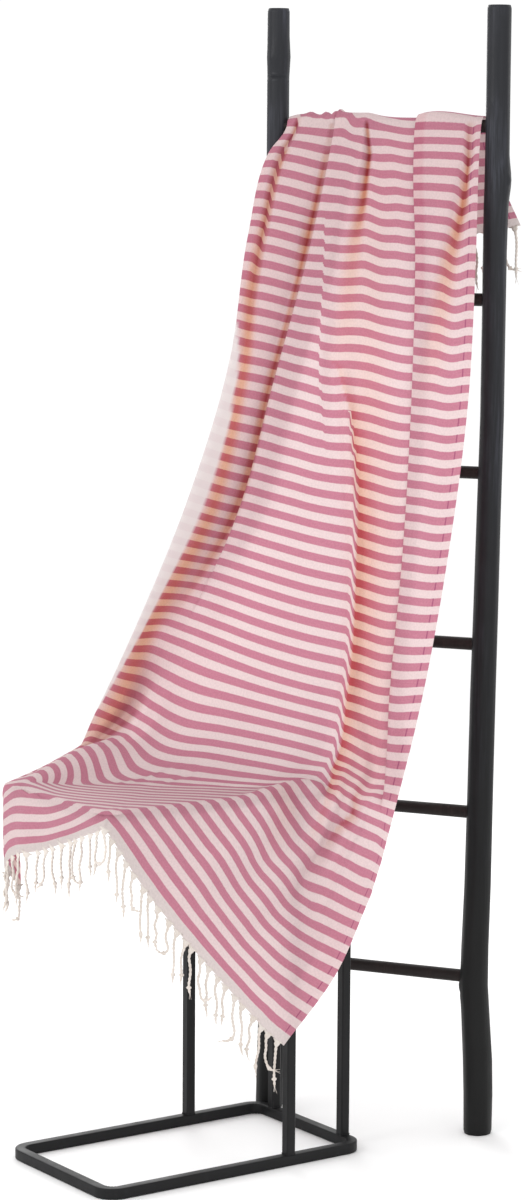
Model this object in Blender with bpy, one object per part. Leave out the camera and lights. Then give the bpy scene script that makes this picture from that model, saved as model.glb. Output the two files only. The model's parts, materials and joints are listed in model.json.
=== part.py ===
"""Hammam towel hung over the top rung of a pole ladder, its low end spread over a side table.

Metres, +Z up. X runs along the rungs to the right, -Y is the side the towel is seen from.
The origin is on the floor at the centre of the right-hand pole's foot.
"""
import math

import bmesh
import bpy
import numpy as np

# ---------------------------------------------------------------- ladder sizes
POLE_GAP = 0.408            # between the pole centres
POLE_SIDES = 20
RUNG_RADIUS = 0.0115
RUNG_SIDES = 18
SOCKET_DEPTH = 0.013        # how far a rung goes into a pole
SOCKET_PLAY = 0.0006        # room round the rung in its socket
CUTTER_START = 0.040        # from the pole's centre to the open end of a socket cutter
RUNG_HEIGHTS = (1.793, 1.493, 1.190, 0.886, 0.584, 0.285)

# height, radius, sideways and forward drift of the log's centre
RIGHT_POLE = (
    (0.000, 0.0235, 0.000, 0.000),
    (0.006, 0.0250, 0.000, 0.000),
    (0.070, 0.0258, 0.000, 0.000),
    (0.133, 0.0260, -0.002, 0.001),
    (0.205, 0.0252, -0.006, 0.000),
    (0.271, 0.0245, -0.010, 0.000),
    (0.340, 0.0240, -0.009, -0.001),
    (0.450, 0.0234, -0.006, 0.000),
    (0.625, 0.0228, -0.004, 0.001),
    (0.800, 0.0226, -0.002, 0.001),
    (0.950, 0.0222, 0.001, 0.000),
    (1.120, 0.0216, 0.004, -0.001),
    (1.290, 0.0213, 0.007, 0.000),
    (1.580, 0.0212, 0.008, 0.000),
    (1.650, 0.0218, 0.009, 0.000),
    (1.700, 0.0230, 0.011, 0.001),
    (1.745, 0.0214, 0.010, 0.000),
    (1.838, 0.0210, 0.010, 0.000),
    (1.994, 0.0207, 0.010, 0.000),
    (2.000, 0.0190, 0.010, 0.000),
)
LEFT_POLE = (
    (0.000, 0.0230, 0.000, 0.000),
    (0.006, 0.0245, 0.000, 0.000),
    (0.090, 0.0250, 0.002, 0.000),
    (0.220, 0.0240, 0.004, 0.001),
    (0.420, 0.0230, 0.003, 0.000),
    (0.700, 0.0222, 0.000, -0.001),
    (1.000, 0.0215, -0.001, 0.000),
    (1.300, 0.0209, 0.001, 0.001),
    (1.560, 0.0204, 0.003, 0.000),
    (1.760, 0.0198, 0.004, 0.000),
    (1.880, 0.0196, 0.004, 0.000),
    (1.915, 0.0206, 0.005, 0.000),
    (1.950, 0.0196, 0.004, 0.000),
    (1.994, 0.0192, 0.004, 0.000),
    (2.000, 0.0176, 0.004, 0.000),
)

# ---------------------------------------------------------------- table sizes
TABLE_LENGTH = 0.540
TABLE_WIDTH = 0.325
TABLE_HEIGHT = 0.660
TABLE_TURN = math.radians(58.3)      # long side against the rungs
TABLE_CORNER = (-0.219, -0.653)      # front left corner, from the middle of the ladder
CORNER_RADIUS = 0.038
CORNER_STEPS = 6
TUBE = 0.0190
TUBE_CHAMFER = 0.0022
UPRIGHT = 0.0180
PANEL_THICK = 0.0050
FIT_GAP = 0.0004
# how far along the long side and across from the front side each upright stands
UPRIGHTS = (
    ("upright_back", 0.375, TABLE_WIDTH - TUBE / 2),
    ("upright_front", 0.380, TUBE / 2),
    ("upright_end_front", TABLE_LENGTH - TUBE / 2, 0.056),
    ("upright_end_back", TABLE_LENGTH - TUBE / 2, 0.268),
)

# ---------------------------------------------------------------- towel sizes
CLOTH_THICK = 0.0016
LAYER = 0.0032              # between the middles of two layers lying on each other
RUNG_CLEAR = 0.0034         # from the rung to the middle of the lowest layer
BEND_STEPS = 2
BEND_OPEN = 0.0038          # spacing of the points of a bend that has opened out

# stations from the rear end of the towel to its front end
STATIONS = ("rear_hem", "rear_mid", "rear_top", "over_1", "over_2", "rung_top", "over_3", "over_4",
            "front_top", "neck", "high", "upper", "middle", "low", "knee", "foot", "lift",
            "brink", "roll", "drop", "flap", "hem")
ROWS_TO_NEXT = (2, 2, 1, 1, 1, 1, 1, 1, 2, 3, 3, 3, 3, 3, 3, 3, 3, 1, 1, 3, 3)
# where the cloth lies against the top rung: 0 is behind it, 90 on top, 180 in front
RUNG_ANGLES = {"rear_top": 0, "over_1": 30, "over_2": 60, "rung_top": 90, "over_3": 118,
               "over_4": 146, "front_top": 172}

# Fold lines from the right selvedge to the left one. First x over the rung, x at the two rear
# stations and the lift of the line over the lowest layer; millimetres from the ladder's middle.
OVER_RUNG = {
    "right_edge": (190, 211, 244, 2.8),
    "tuck": (70, 86, 104, 6.6),
    "ridge": (-3, 2, 8, 4.0),
    "crease": (-25, -28, -30, 8.8),
    "pleat": (-80, -88, -97, 9.8),
    "left_fold": (-174, -183, -190, 3.3),
}

# how far behind the ladder each rear station hangs, its height at the right edge, and its share
# of the slope of the rear end, which hangs lower at the left; in metres
REAR = {"rear_mid": (0.031, 1.700, 0.45), "rear_hem": (0.040, 1.622, 1.0)}
REAR_DROP = 0.080

# Then where each line runs, (x, y, z) in millimetres from the ladder's middle on the floor.
FRONT_STATIONS = ("neck", "high", "upper", "middle", "low", "knee", "foot", "lift", "brink",
                  "roll", "drop", "flap", "hem")
LINES = {
    "right_edge": ((193, -34, 1740), (199, -60, 1567), (206, -110, 1316), (195, -165, 1068),
                   (170, -220, 818), (139, -250, 646), (130, -262, 595), (120, -275, 539),
                   (109, -284, 494), (107, -286, 485), (104, -289, 475), (58, -318, 350),
                   (-26, -352, 218)),
    "tuck": ((74, -37, 1741), (94, -75, 1569), (109, -125, 1317), (116, -175, 1070),
             (115, -225, 823), (119, -255, 656), (114, -264, 613), (104, -272, 578),
             (90, -280, 544), (87, -282, 535), (83, -284, 526), (18, -304, 385),
             (-50, -391, 258)),
    "ridge": ((-2, -36, 1746), (-1, -85, 1585), (13, -140, 1327), (32, -190, 1073),
              (34, -230, 815), (20, -246, 708), (14, -262, 680), (14, -275, 668),
              (17, -280, 664), (19, -283, 660), (20, -286, 653), (0, -327, 512),
              (-81, -441, 322)),
    "crease": ((-25, -42, 1750), (-38, -93, 1592), (-52, -160, 1334), (-49, -203, 1086),
               (-47, -260, 836), (-57, -303, 694), (-72, -320, 674), (-86, -333, 664),
               None, None, None, (-118, -508, 570), (-162, -573, 492)),
    "corner_way": (None, None, None, None,
                   (-149, -270, 864), (-188, -320, 706), (-211, -356, 677), (-234, -393, 664),
                   None, None, None, (-219, -653, 648), (-217, -663, 637)),
    "valley": (None, None, None, None,
               (-202, -275, 884), (-272, -322, 712), (-322, -386, 676), (-392, -455, 664),
               None, None, None, (-370, -568, 612), (-382, -560, 569)),
    "pleat": ((-79, -46, 1751), (-91, -100, 1594), (-127, -175, 1356), (-168, -235, 1117),
              (-253, -288, 901), (-344, -292, 740), (-405, -395, 709), (-464, -491, 669),
              None, None, None, (-481, -501, 600), (-484, -498, 529)),
    "band": (None, None, None, None,
             (-293, -292, 912), (-370, -312, 757), (-441, -386, 697), (-493, -485, 664),
             (-495, -485, 658), (-494, -487, 649), (-496, -486, 643), (-499, -485, 585),
             (-496, -486, 516)),
    "left_fold": ((-192, -56, 1747), (-202, -122, 1601), (-205, -190, 1391), (-248, -270, 1146),
                  (-326, -314, 925), (-402, -318, 770), (-447, -368, 660), (-500, -469, 622),
                  (-502, -467, 607), (-502, -467, 602), (-503, -466, 597), (-502, -466, 553),
                  (-497, -469, 500)),
    "left_edge": (None, None, None, None,
                  None, (-372, -290, 722), (-432, -346, 600), (-486, -447, 565),
                  (-487, -446, 557), (-487, -446, 552), (-488, -446, 547), (-487, -446, 515),
                  (-484, -448, 470)),
}
# where the lines that lie on the table top cross its edge
CROSSINGS = {"crease": (-88, -441), "corner_way": (-223, -638), "valley": (-357, -568),
             "pleat": (-472, -498)}
# outwards from the edge and up from the table top, in millimetres
OVER_THE_EDGE = {"brink": (-2.6, 3.2), "roll": (1.8, 1.6), "drop": (3.6, -3.0)}
TABLE_CLEAR = 0.0034        # from the table to the middle of the cloth
SIDE_CLEAR = 0.0050         # the same where it hangs down past the table's side
CORNER_EASE = 0.0065        # how much further off the cloth stands at a corner

# Width turned under at each front station, and how far apart its layers lie, for the tuck and
# the pleat, then the width of the left margin. Where a pleat has opened, open is 1.
TURNED_COLUMNS = ("tuck", "tuck_gap", "tuck_open", "pleat", "pleat_gap", "pleat_open", "margin")
TURNED = {
    "rung": (24, 3.2, 0, 50, 3.2, 0, 148),
    "neck": (24, 3.2, 0, 50, 3.2, 0, 148),
    "high": (22, 3.2, 0, 48, 3.2, 0, 136),
    "upper": (20, 3.2, 0, 40, 4.0, 0, 122),
    "middle": (18, 3.2, 0, 20, 12.0, 0, 108),
    "low": (16, 6.0, 0, 0, 0, 1, 84),
    "knee": (5, 8.0, 0, 0, 0, 1, 0),
    "spread": (0, 0, 1, 0, 0, 1, 0),
}
TUCK_OPEN_SHARE = 0.24
BAND_SHIFT = 0.004          # how far left of the pleat the cloth comes out from under it
# where the corner and valley lines start, as shares of the way from the crease to the pleat
CORNER_SHARE = 0.34
VALLEY_SHARE = 0.67

# Soft folds: station -> (place between the lines, half width in lines, height in millimetres).
LINE_PLACE = {"right_edge": 0, "tuck": 1, "ridge": 2, "crease": 3, "corner_way": 4, "valley": 5,
              "pleat": 6, "band": 7, "left_fold": 8, "left_edge": 9}
SOFT_FOLDS = {
    "rung_pleat_right": {"front_top": (0.12, 0.10, -3), "neck": (0.16, 0.12, -10),
                         "high": (0.30, 0.22, -14), "upper": (0.45, 0.30, -7),
                         "middle": (0.50, 0.30, 0)},
    "rung_pleat_middle": {"front_top": (2.0, 0.16, -2), "neck": (2.0, 0.24, -9),
                          "high": (2.15, 0.50, -12), "upper": (2.4, 0.60, -5),
                          "middle": (2.5, 0.50, 0)},
    "crease_hollow": {"high": (2.72, 0.25, -3), "upper": (2.65, 0.35, -10),
                      "middle": (2.60, 0.40, -5), "low": (2.6, 0.40, 0)},
    "left_roll": {"front_top": (7.8, 0.3, 0), "neck": (7.8, 0.4, 4), "high": (7.8, 0.4, 6),
                  "upper": (7.7, 0.4, 5), "middle": (7.6, 0.4, 3), "low": (7.5, 0.40, 0)},
    "twist_on_rung": {"rear_top": (3.4, 0.9, 0), "rung_top": (3.4, 0.9, 9),
                      "front_top": (3.3, 0.8, 3), "neck": (3.2, 0.8, 0)},
    "soft_ridge": {"upper": (2.0, 0.5, 0), "middle": (2.0, 0.45, 9), "low": (2.0, 0.45, 11),
                   "knee": (2.0, 0.40, 7), "lift": (2.0, 0.40, 0)},
    "ridge_hollow": {"upper": (1.55, 0.4, 0), "middle": (1.60, 0.38, -13),
                     "low": (1.62, 0.38, -16), "knee": (1.55, 0.36, -13),
                     "lift": (1.45, 0.36, -12), "drop": (1.50, 0.34, -11),
                     "flap": (1.60, 0.3, 0)},
    "second_ridge": {"low": (1.25, 0.2, 0), "knee": (1.22, 0.20, 7), "lift": (1.18, 0.22, 10),
                     "drop": (1.20, 0.25, 10), "flap": (1.45, 0.35, 7),
                     "hem": (1.6, 0.4, 0)},
    "flap_hollow": {"brink": (2.35, 0.6, 0), "drop": (2.35, 0.6, 2), "flap": (2.4, 0.8, 9),
                    "hem": (2.4, 0.8, 4)},
    "pleat_hump": {"upper": (5.4, 1.2, 0), "middle": (5.5, 1.2, 8), "low": (5.6, 1.0, 9),
                   "knee": (5.6, 0.7, 0)},
    "panel_wave": {"middle": (3.6, 0.9, 0), "low": (3.9, 0.9, -7), "knee": (4.1, 0.7, 0)},
}

# columns of cloth from the right edge to the tuck, on to the ridge, and so on to the left edge
QUADS_BETWEEN = (5, 5, 4, 5, 5, 4, 1, 4, 3)
CROWDING = 1.35             # how much closer the columns lie beside the corner line

# ---------------------------------------------------------------- fringe sizes
FRINGE_THICK = 0.0020
FRINGE_HEAD = 0.0045
FRINGE_GAP = 0.0006
FRINGE_INSET = 0.001        # from the cloth's corner to the end of the fringe head
TASSEL_WIDTH = 0.0036
FRONT_TASSELS = 32
REAR_TASSELS = 24
TASSEL_LENGTHS = (0.088, 0.096, 0.082, 0.101, 0.079, 0.092, 0.105, 0.085, 0.098)

COLOURS = {
    "cloth": (0.80, 0.42, 0.50, 1.0),
    "fringe": (0.84, 0.79, 0.73, 1.0),
    "pole": (0.018, 0.019, 0.022, 1.0),
    "rung": (0.016, 0.016, 0.017, 1.0),
    "tube": (0.014, 0.014, 0.015, 1.0),
    "panel": (0.016, 0.016, 0.017, 1.0),
}

MIDDLE = np.array([-POLE_GAP / 2, 0.0, 0.0])   # the ladder's middle, from the origin
MM = 0.001


def clear_scene():
    for obj in list(bpy.data.objects):
        bpy.data.objects.remove(obj, do_unlink=True)


def material(name, colour, roughness, metallic=0.0):
    mat = bpy.data.materials.new(name)
    mat.use_nodes = True
    shader = mat.node_tree.nodes["Principled BSDF"]
    shader.inputs["Base Color"].default_value = colour
    shader.inputs["Roughness"].default_value = roughness
    shader.inputs["Metallic"].default_value = metallic
    mat.diffuse_color = colour
    return mat


def add_object(name, verts, faces, mat, smooth=False):
    mesh = bpy.data.meshes.new(name)
    mesh.from_pydata([tuple(map(float, v)) for v in verts], [], faces)
    bm = bmesh.new()
    bm.from_mesh(mesh)
    bmesh.ops.recalc_face_normals(bm, faces=bm.faces)
    bm.to_mesh(mesh)
    bm.free()
    mesh.materials.append(mat)
    for poly in mesh.polygons:
        poly.use_smooth = smooth and len(poly.vertices) == 4
    obj = bpy.data.objects.new(name, mesh)
    bpy.context.scene.collection.objects.link(obj)
    return obj


def loft(rings, closed=False):
    """Faces that join equal rings of points; open lofts get a flat face at each end."""
    count = len(rings[0])
    verts = [p for ring in rings for p in ring]
    faces = []
    steps = len(rings) if closed else len(rings) - 1
    for i in range(steps):
        a = i * count
        b = ((i + 1) % len(rings)) * count
        for j in range(count):
            k = (j + 1) % count
            faces.append((a + j, a + k, b + k, b + j))
    if not closed:
        faces.append(tuple(range(count)))
        faces.append(tuple(range(len(verts) - count, len(verts))))
    return verts, faces


# ---------------------------------------------------------------- ladder

def pole_centre(sections, height, base_x):
    heights = [s[0] for s in sections]
    x = base_x + np.interp(height, heights, [s[2] for s in sections])
    y = np.interp(height, heights, [s[3] for s in sections])
    return x, y


def make_pole(name, sections, base_x, side, mat):
    rings = []
    for height, radius, drift_x, drift_y in sections:
        ring = []
        for i in range(POLE_SIDES):
            a = 2 * math.pi * i / POLE_SIDES
            wobble = 1.0 + 0.018 * math.sin(2 * a + 3.1 * height) + 0.012 * math.sin(3 * a - 5 * height)
            r = radius * wobble
            ring.append((base_x + drift_x + r * math.cos(a), drift_y + r * math.sin(a), height))
        rings.append(ring)
    verts, faces = loft(rings)
    pole = add_object(name, verts, faces, mat, smooth=True)
    for number, height in enumerate(RUNG_HEIGHTS, 1):
        centre_x, centre_y = pole_centre(sections, height, base_x)
        inner = centre_x + side * CUTTER_START
        deep = centre_x + side * socket_bottom(sections, height)
        cutter = make_rod("socket_%s_%d" % (name, number), inner, deep, 0.0, height,
                          RUNG_RADIUS + SOCKET_PLAY, mat)
        cutter.hide_render = True
        cutter.display_type = "WIRE"
        cut = pole.modifiers.new("socket_%d" % number, "BOOLEAN")
        cut.operation = "DIFFERENCE"
        cut.solver = "EXACT"
        cut.object = cutter
    return pole


def socket_bottom(sections, height):
    """Distance from the pole's centre to the flat bottom of a rung socket."""
    radius = np.interp(height, [s[0] for s in sections], [s[1] for s in sections])
    return float(radius) - SOCKET_DEPTH


def make_rod(name, x0, x1, y, z, radius, mat):
    rings = []
    for x in (x0, x1):
        ring = []
        for i in range(RUNG_SIDES):
            a = 2 * math.pi * i / RUNG_SIDES
            ring.append((x, y + radius * math.cos(a), z + radius * math.sin(a)))
        rings.append(ring)
    verts, faces = loft(rings)
    return add_object(name, verts, faces, mat, smooth=True)


def make_ladder(mats):
    left_x = -POLE_GAP
    make_pole("pole_left", LEFT_POLE, left_x, 1.0, mats["pole"])
    make_pole("pole_right", RIGHT_POLE, 0.0, -1.0, mats["pole"])
    for number, height in enumerate(RUNG_HEIGHTS, 1):
        x_left, _ = pole_centre(LEFT_POLE, height, left_x)
        x_right, _ = pole_centre(RIGHT_POLE, height, 0.0)
        x0 = x_left + socket_bottom(LEFT_POLE, height) + FIT_GAP
        x1 = x_right - socket_bottom(RIGHT_POLE, height) - FIT_GAP
        make_rod("rung_%d" % number, x0, x1, 0.0, height, RUNG_RADIUS, mats["rung"])


# ---------------------------------------------------------------- table

LONG_WAY = np.array([math.cos(TABLE_TURN), math.sin(TABLE_TURN), 0.0])
SHORT_WAY = np.array([-math.sin(TABLE_TURN), math.cos(TABLE_TURN), 0.0])


def table_point(along, across, height):
    corner = MIDDLE + np.array([TABLE_CORNER[0], TABLE_CORNER[1], 0.0])
    return corner + LONG_WAY * along + SHORT_WAY * across + np.array([0.0, 0.0, height])


def rounded_outline(inset):
    """Points round the table's outline, moved inwards by inset."""
    radius = CORNER_RADIUS - inset
    centres = ((TABLE_LENGTH - CORNER_RADIUS, CORNER_RADIUS, -90),
               (TABLE_LENGTH - CORNER_RADIUS, TABLE_WIDTH - CORNER_RADIUS, 0),
               (CORNER_RADIUS, TABLE_WIDTH - CORNER_RADIUS, 90),
               (CORNER_RADIUS, CORNER_RADIUS, 180))
    points = []
    for along, across, start in centres:
        for i in range(CORNER_STEPS + 1):
            a = math.radians(start + 90.0 * i / CORNER_STEPS)
            points.append((along + radius * math.cos(a), across + radius * math.sin(a)))
    return points


def make_loop(name, low, mat):
    """A square tube bent into a rounded rectangle, standing on the given height."""
    c = TUBE_CHAMFER
    section = ((0.0, c), (0.0, TUBE - c), (c, TUBE), (TUBE - c, TUBE),
               (TUBE, TUBE - c), (TUBE, c), (TUBE - c, 0.0), (c, 0.0))
    outlines = [rounded_outline(inset) for inset, _ in section]
    rings = []
    for i in range(len(outlines[0])):
        ring = []
        for j, (_, up) in enumerate(section):
            along, across = outlines[j][i]
            ring.append(table_point(along, across, low + up))
        rings.append(ring)
    verts, faces = loft(rings, closed=True)
    add_object(name, verts, faces, mat)


def make_table(mats):
    make_loop("base_loop", 0.0, mats["tube"])
    make_loop("top_loop", TABLE_HEIGHT - TUBE, mats["tube"])
    outline = rounded_outline(TUBE + FIT_GAP)
    rings = []
    for height in (TABLE_HEIGHT - PANEL_THICK, TABLE_HEIGHT):
        rings.append([table_point(along, across, height) for along, across in outline])
    verts, faces = loft(rings)
    add_object("top_panel", verts, faces, mats["panel"])
    half = UPRIGHT / 2
    c = TUBE_CHAMFER
    section = ((-half, c - half), (-half, half - c), (c - half, half), (half - c, half),
               (half, half - c), (half, c - half), (half - c, -half), (c - half, -half))
    for name, along, across in UPRIGHTS:
        rings = []
        for height in (TUBE + FIT_GAP, TABLE_HEIGHT - TUBE - FIT_GAP):
            rings.append([table_point(along + u, across + v, height) for u, v in section])
        verts, faces = loft(rings)
        add_object(name, verts, faces, mats["tube"])


# ---------------------------------------------------------------- towel

def unit(v):
    return v / np.linalg.norm(v)


def rung_point(x, lift, angle):
    """A point wrapped over the top rung; angle 0 is behind it, 90 on top, 180 in front."""
    radius = RUNG_RADIUS + RUNG_CLEAR + lift * MM
    a = math.radians(angle)
    return np.array([x * MM, radius * math.cos(a), RUNG_HEIGHTS[0] + radius * math.sin(a)])


def rear_point(x, lift, name):
    """Where a line hangs behind the ladder, clear of the backs of the poles."""
    back, height, share = REAR[name]
    right, left = OVER_RUNG["right_edge"][2], OVER_RUNG["left_fold"][2]
    drop = REAR_DROP * share * (right - x) / (right - left)
    return np.array([x * MM, back + lift * MM, height - drop])


def turned_at(station, column):
    key = station
    if station not in TURNED:
        key = "spread" if station in FRONT_STATIONS else "rung"
    return TURNED[key][TURNED_COLUMNS.index(column)]


def outline_edge(x, y):
    """The nearest point of the table's outline to x, y, and the way out from it."""
    from_corner = np.array([x - TABLE_CORNER[0], y - TABLE_CORNER[1], 0.0])
    along, across = from_corner @ LONG_WAY, from_corner @ SHORT_WAY
    middle = np.array([TABLE_LENGTH / 2, TABLE_WIDTH / 2])
    place = np.array([along, across]) - middle
    core = middle - CORNER_RADIUS
    clamped = np.clip(place, -core, core)
    way = place - clamped
    if np.linalg.norm(way) < 1e-9:
        inside = core - np.abs(place)
        axis = int(np.argmin(inside))
        way = np.zeros(2)
        way[axis] = 1.0 if place[axis] >= 0 else -1.0
        clamped[axis] = core[axis] * way[axis]
    out = way / np.linalg.norm(way)
    edge = clamped + out * CORNER_RADIUS
    distance = float((place - edge) @ out)
    edge = edge + middle
    corner = np.array([TABLE_CORNER[0], TABLE_CORNER[1], 0.0])
    point = corner + LONG_WAY * edge[0] + SHORT_WAY * edge[1]
    return point, LONG_WAY * out[0] + SHORT_WAY * out[1], distance


def over_the_edge(x, y, station):
    """Where cloth that crosses the table's edge near x, y is at the brink, roll or drop."""
    outwards, up = OVER_THE_EDGE[station]
    point, out, _ = outline_edge(x, y)
    ease = CORNER_EASE * 2 * abs(out @ LONG_WAY) * abs(out @ SHORT_WAY)
    return point + out * (outwards * MM + ease) + np.array([0.0, 0.0, TABLE_HEIGHT + up * MM])


def visible_point(line, station):
    """Where a line is at a station, or None if it is worked out from its neighbours."""
    if station in FRONT_STATIONS:
        entry = LINES[line][FRONT_STATIONS.index(station)]
        if entry is not None:
            return np.array(entry, float) * MM
        if line not in CROSSINGS or station not in OVER_THE_EDGE:
            return None
        x, y = CROSSINGS[line]
        return over_the_edge(x * MM, y * MM, station)
    if line not in OVER_RUNG:
        return None
    x_rung, x_mid, x_hem, lift = OVER_RUNG[line]
    if station in ("rear_hem", "rear_mid"):
        return rear_point(x_hem if station == "rear_hem" else x_mid, lift, station)
    return rung_point(x_rung, lift, RUNG_ANGLES[station])


def frame_at(station):
    """Rightward and outward directions of the section at a station."""
    if station in RUNG_ANGLES:
        a = math.radians(RUNG_ANGLES[station])
        return np.array([1.0, 0, 0]), np.array([0, math.cos(a), math.sin(a)])
    index = STATIONS.index(station)
    before = STATIONS[max(index - 1, 0)]
    after = STATIONS[min(index + 1, len(STATIONS) - 1)]
    right = unit(visible_point("tuck", station) - visible_point("left_fold", station))
    along = np.zeros(3)
    for line in ("tuck", "ridge", "pleat"):
        along = along + visible_point(line, after) - visible_point(line, before)
    return right, unit(np.cross(unit(along), right))


def left_fold_frame(band, station):
    """The same directions at the fold of the left margin."""
    right, out = frame_at(station)
    if station not in FRONT_STATIONS:
        return right, out
    index = STATIONS.index(station)
    after = STATIONS[min(index + 1, len(STATIONS) - 1)]
    here = visible_point("left_fold", station)
    along = visible_point("left_fold", after) - visible_point("left_fold", STATIONS[index - 1])
    lane = unit(band - here)
    return lane, unit(np.cross(unit(along), lane))


def bend(start, end, out, side, gap, opened):
    """Points round a turned edge; an opened one lies flat towards the next line."""
    points = []
    for j in range(BEND_STEPS + 1):
        a = math.pi * j / BEND_STEPS
        if opened:
            points.append(start + unit(end - start) * BEND_OPEN * j)
        else:
            away = side * math.sin(a) - out * (1 - math.cos(a))
            points.append(start + away * gap / 2)
    return points


def section_at(station):
    """The key points of one section, right to left, each with its place between the lines."""
    right, out = frame_at(station)
    p = {line: visible_point(line, station) for line in LINES}
    if p["corner_way"] is None:
        p["corner_way"] = p["crease"] + (p["pleat"] - p["crease"]) * CORNER_SHARE
        p["valley"] = p["crease"] + (p["pleat"] - p["crease"]) * VALLEY_SHARE
    points = [(0.0, p["right_edge"])]

    opened = turned_at(station, "tuck_open")
    width = turned_at(station, "tuck") * MM
    gap = turned_at(station, "tuck_gap") * MM
    to_ridge = p["ridge"] - p["tuck"]
    inner = p["tuck"] + right * width - out * gap
    below = p["tuck"] - out * 2 * gap
    if opened:
        inner = p["tuck"] + unit(to_ridge) * BEND_OPEN * (BEND_STEPS + 1)
        below = p["tuck"] + to_ridge * TUCK_OPEN_SHARE
    points += [(1.0, q) for q in bend(p["tuck"], inner, out, -right, gap, opened)]
    points += [(1.0, q) for q in bend(inner, below, out, right, gap, opened)]
    points.append((1.0, below))

    for line in ("ridge", "crease", "corner_way", "valley"):
        points.append((float(LINE_PLACE[line]), p[line]))

    opened = turned_at(station, "pleat_open")
    width = turned_at(station, "pleat") * MM
    gap = turned_at(station, "pleat_gap") * MM
    inner = p["pleat"] + right * width - out * gap
    band = p["pleat"] - right * BAND_SHIFT - out * 2 * gap
    if opened:
        band = p["band"]
        inner = p["pleat"] + unit(band - p["pleat"]) * BEND_OPEN * (BEND_STEPS + 1)
    points += [(6.0, q) for q in bend(p["pleat"], inner, out, -right, gap, opened)]
    points += [(6.0, q) for q in bend(inner, band, out, right, gap, opened)]
    points.append((7.0, band))

    lane, fold_out = left_fold_frame(band, station)
    edge = p["left_edge"]
    if edge is None:
        edge = p["left_fold"] + lane * turned_at(station, "margin") * MM - fold_out * LAYER
        if station in FRONT_STATIONS:
            edge = edge - fold_out * LAYER
    hanging = station in FRONT_STATIONS and station not in TURNED
    points += [(8.0, q) for q in bend(p["left_fold"], edge, fold_out, -lane, LAYER, hanging)]
    points.append((9.0, edge))
    return points


def spline(nodes, counts, sharp):
    """Points through the nodes; straight where the cloth breaks over an edge."""
    nodes = np.array(nodes)
    steps = np.maximum(np.linalg.norm(np.diff(nodes, axis=0), axis=1), 1e-5)
    slopes = np.diff(nodes, axis=0) / steps[:, None]
    tangents = np.zeros_like(nodes)
    for i in range(len(nodes)):
        if i == 0:
            tangents[i] = slopes[0]
        elif i == len(nodes) - 1:
            tangents[i] = slopes[-1]
        else:
            weight = steps[i - 1] / (steps[i - 1] + steps[i])
            tangents[i] = slopes[i - 1] * (1 - weight) + slopes[i] * weight
    points = [nodes[0]]
    for i, count in enumerate(counts):
        start = slopes[i] if i in sharp else tangents[i]
        end = slopes[i] if i + 1 in sharp else tangents[i + 1]
        for j in range(1, count + 1):
            t = j / count
            h00 = 2 * t ** 3 - 3 * t ** 2 + 1
            h10 = t ** 3 - 2 * t ** 2 + t
            h01 = 3 * t ** 2 - 2 * t ** 3
            h11 = t ** 3 - t ** 2
            points.append(h00 * nodes[i] + h10 * steps[i] * start
                          + h01 * nodes[i + 1] + h11 * steps[i] * end)
    return points


def soft_height(place, row):
    """How far the soft folds push the cloth outwards at a place of a row."""
    total = 0.0
    for stations in SOFT_FOLDS.values():
        at = [STATIONS.index(s) for s in stations]
        if not at[0] <= row <= at[-1]:
            continue
        centre, half, height = (np.interp(row, at, [v[c] for v in stations.values()])
                                for c in range(3))
        reach = abs(place - centre) / half
        if reach < 1:
            total += height * MM * math.cos(reach * math.pi / 2) ** 2
    return total


def towel_grid():
    """Middle surface of the cloth: rows from the rear end to the front, columns right to left."""
    sections = [section_at(station) for station in STATIONS]
    places = [place for place, _ in sections[0]]
    sharp = [STATIONS.index(s) for s in ("lift", "brink", "roll", "drop")]
    lines = []
    for column in range(len(places)):
        lines.append(spline([s[column][1] for s in sections], ROWS_TO_NEXT, sharp))
    row_place = [0.0]
    for station, count in enumerate(ROWS_TO_NEXT):
        row_place += [station + j / count for j in range(1, count + 1)]

    spans = []
    between = iter(QUADS_BETWEEN)
    for a, b in zip(places, places[1:]):
        spans.append(next(between) if b > a else 1)
    grid = []
    grid_places = []
    for row in range(len(row_place)):
        points = []
        marks = []
        for column, count in enumerate(spans):
            start, end = lines[column][row], lines[column + 1][row]
            for j in range(count):
                t = j / count
                if places[column + 1] == LINE_PLACE["corner_way"]:
                    t = 1 - (1 - t) ** CROWDING
                elif places[column] == LINE_PLACE["corner_way"]:
                    t = t ** CROWDING
                points.append(start * (1 - t) + end * t)
                marks.append(places[column] * (1 - t) + places[column + 1] * t)
        points.append(lines[-1][row])
        marks.append(places[-1])
        grid.append(points)
        grid_places.append(marks)
    grid = np.array(grid)
    for station in OVER_THE_EDGE:
        row = row_place.index(STATIONS.index(station))
        for j, place in enumerate(grid_places[row]):
            if LINE_PLACE["crease"] <= place < LINE_PLACE["pleat"]:
                grid[row, j] = over_the_edge(grid[row, j][0], grid[row, j][1], station)
    normals = grid_normals(grid)
    outs = [frame_at(station)[1] for station in STATIONS]
    for i, row in enumerate(row_place):
        out = outs[int(round(row))]
        for j, place in enumerate(grid_places[i]):
            way = out
            if row > STATIONS.index("low"):
                way = normals[i, j] if normals[i, j] @ out >= 0 else -normals[i, j]
            grid[i, j] += way * soft_height(place, row)
            grid[i, j] = clear_of_table(grid[i, j])
    return grid


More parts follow.
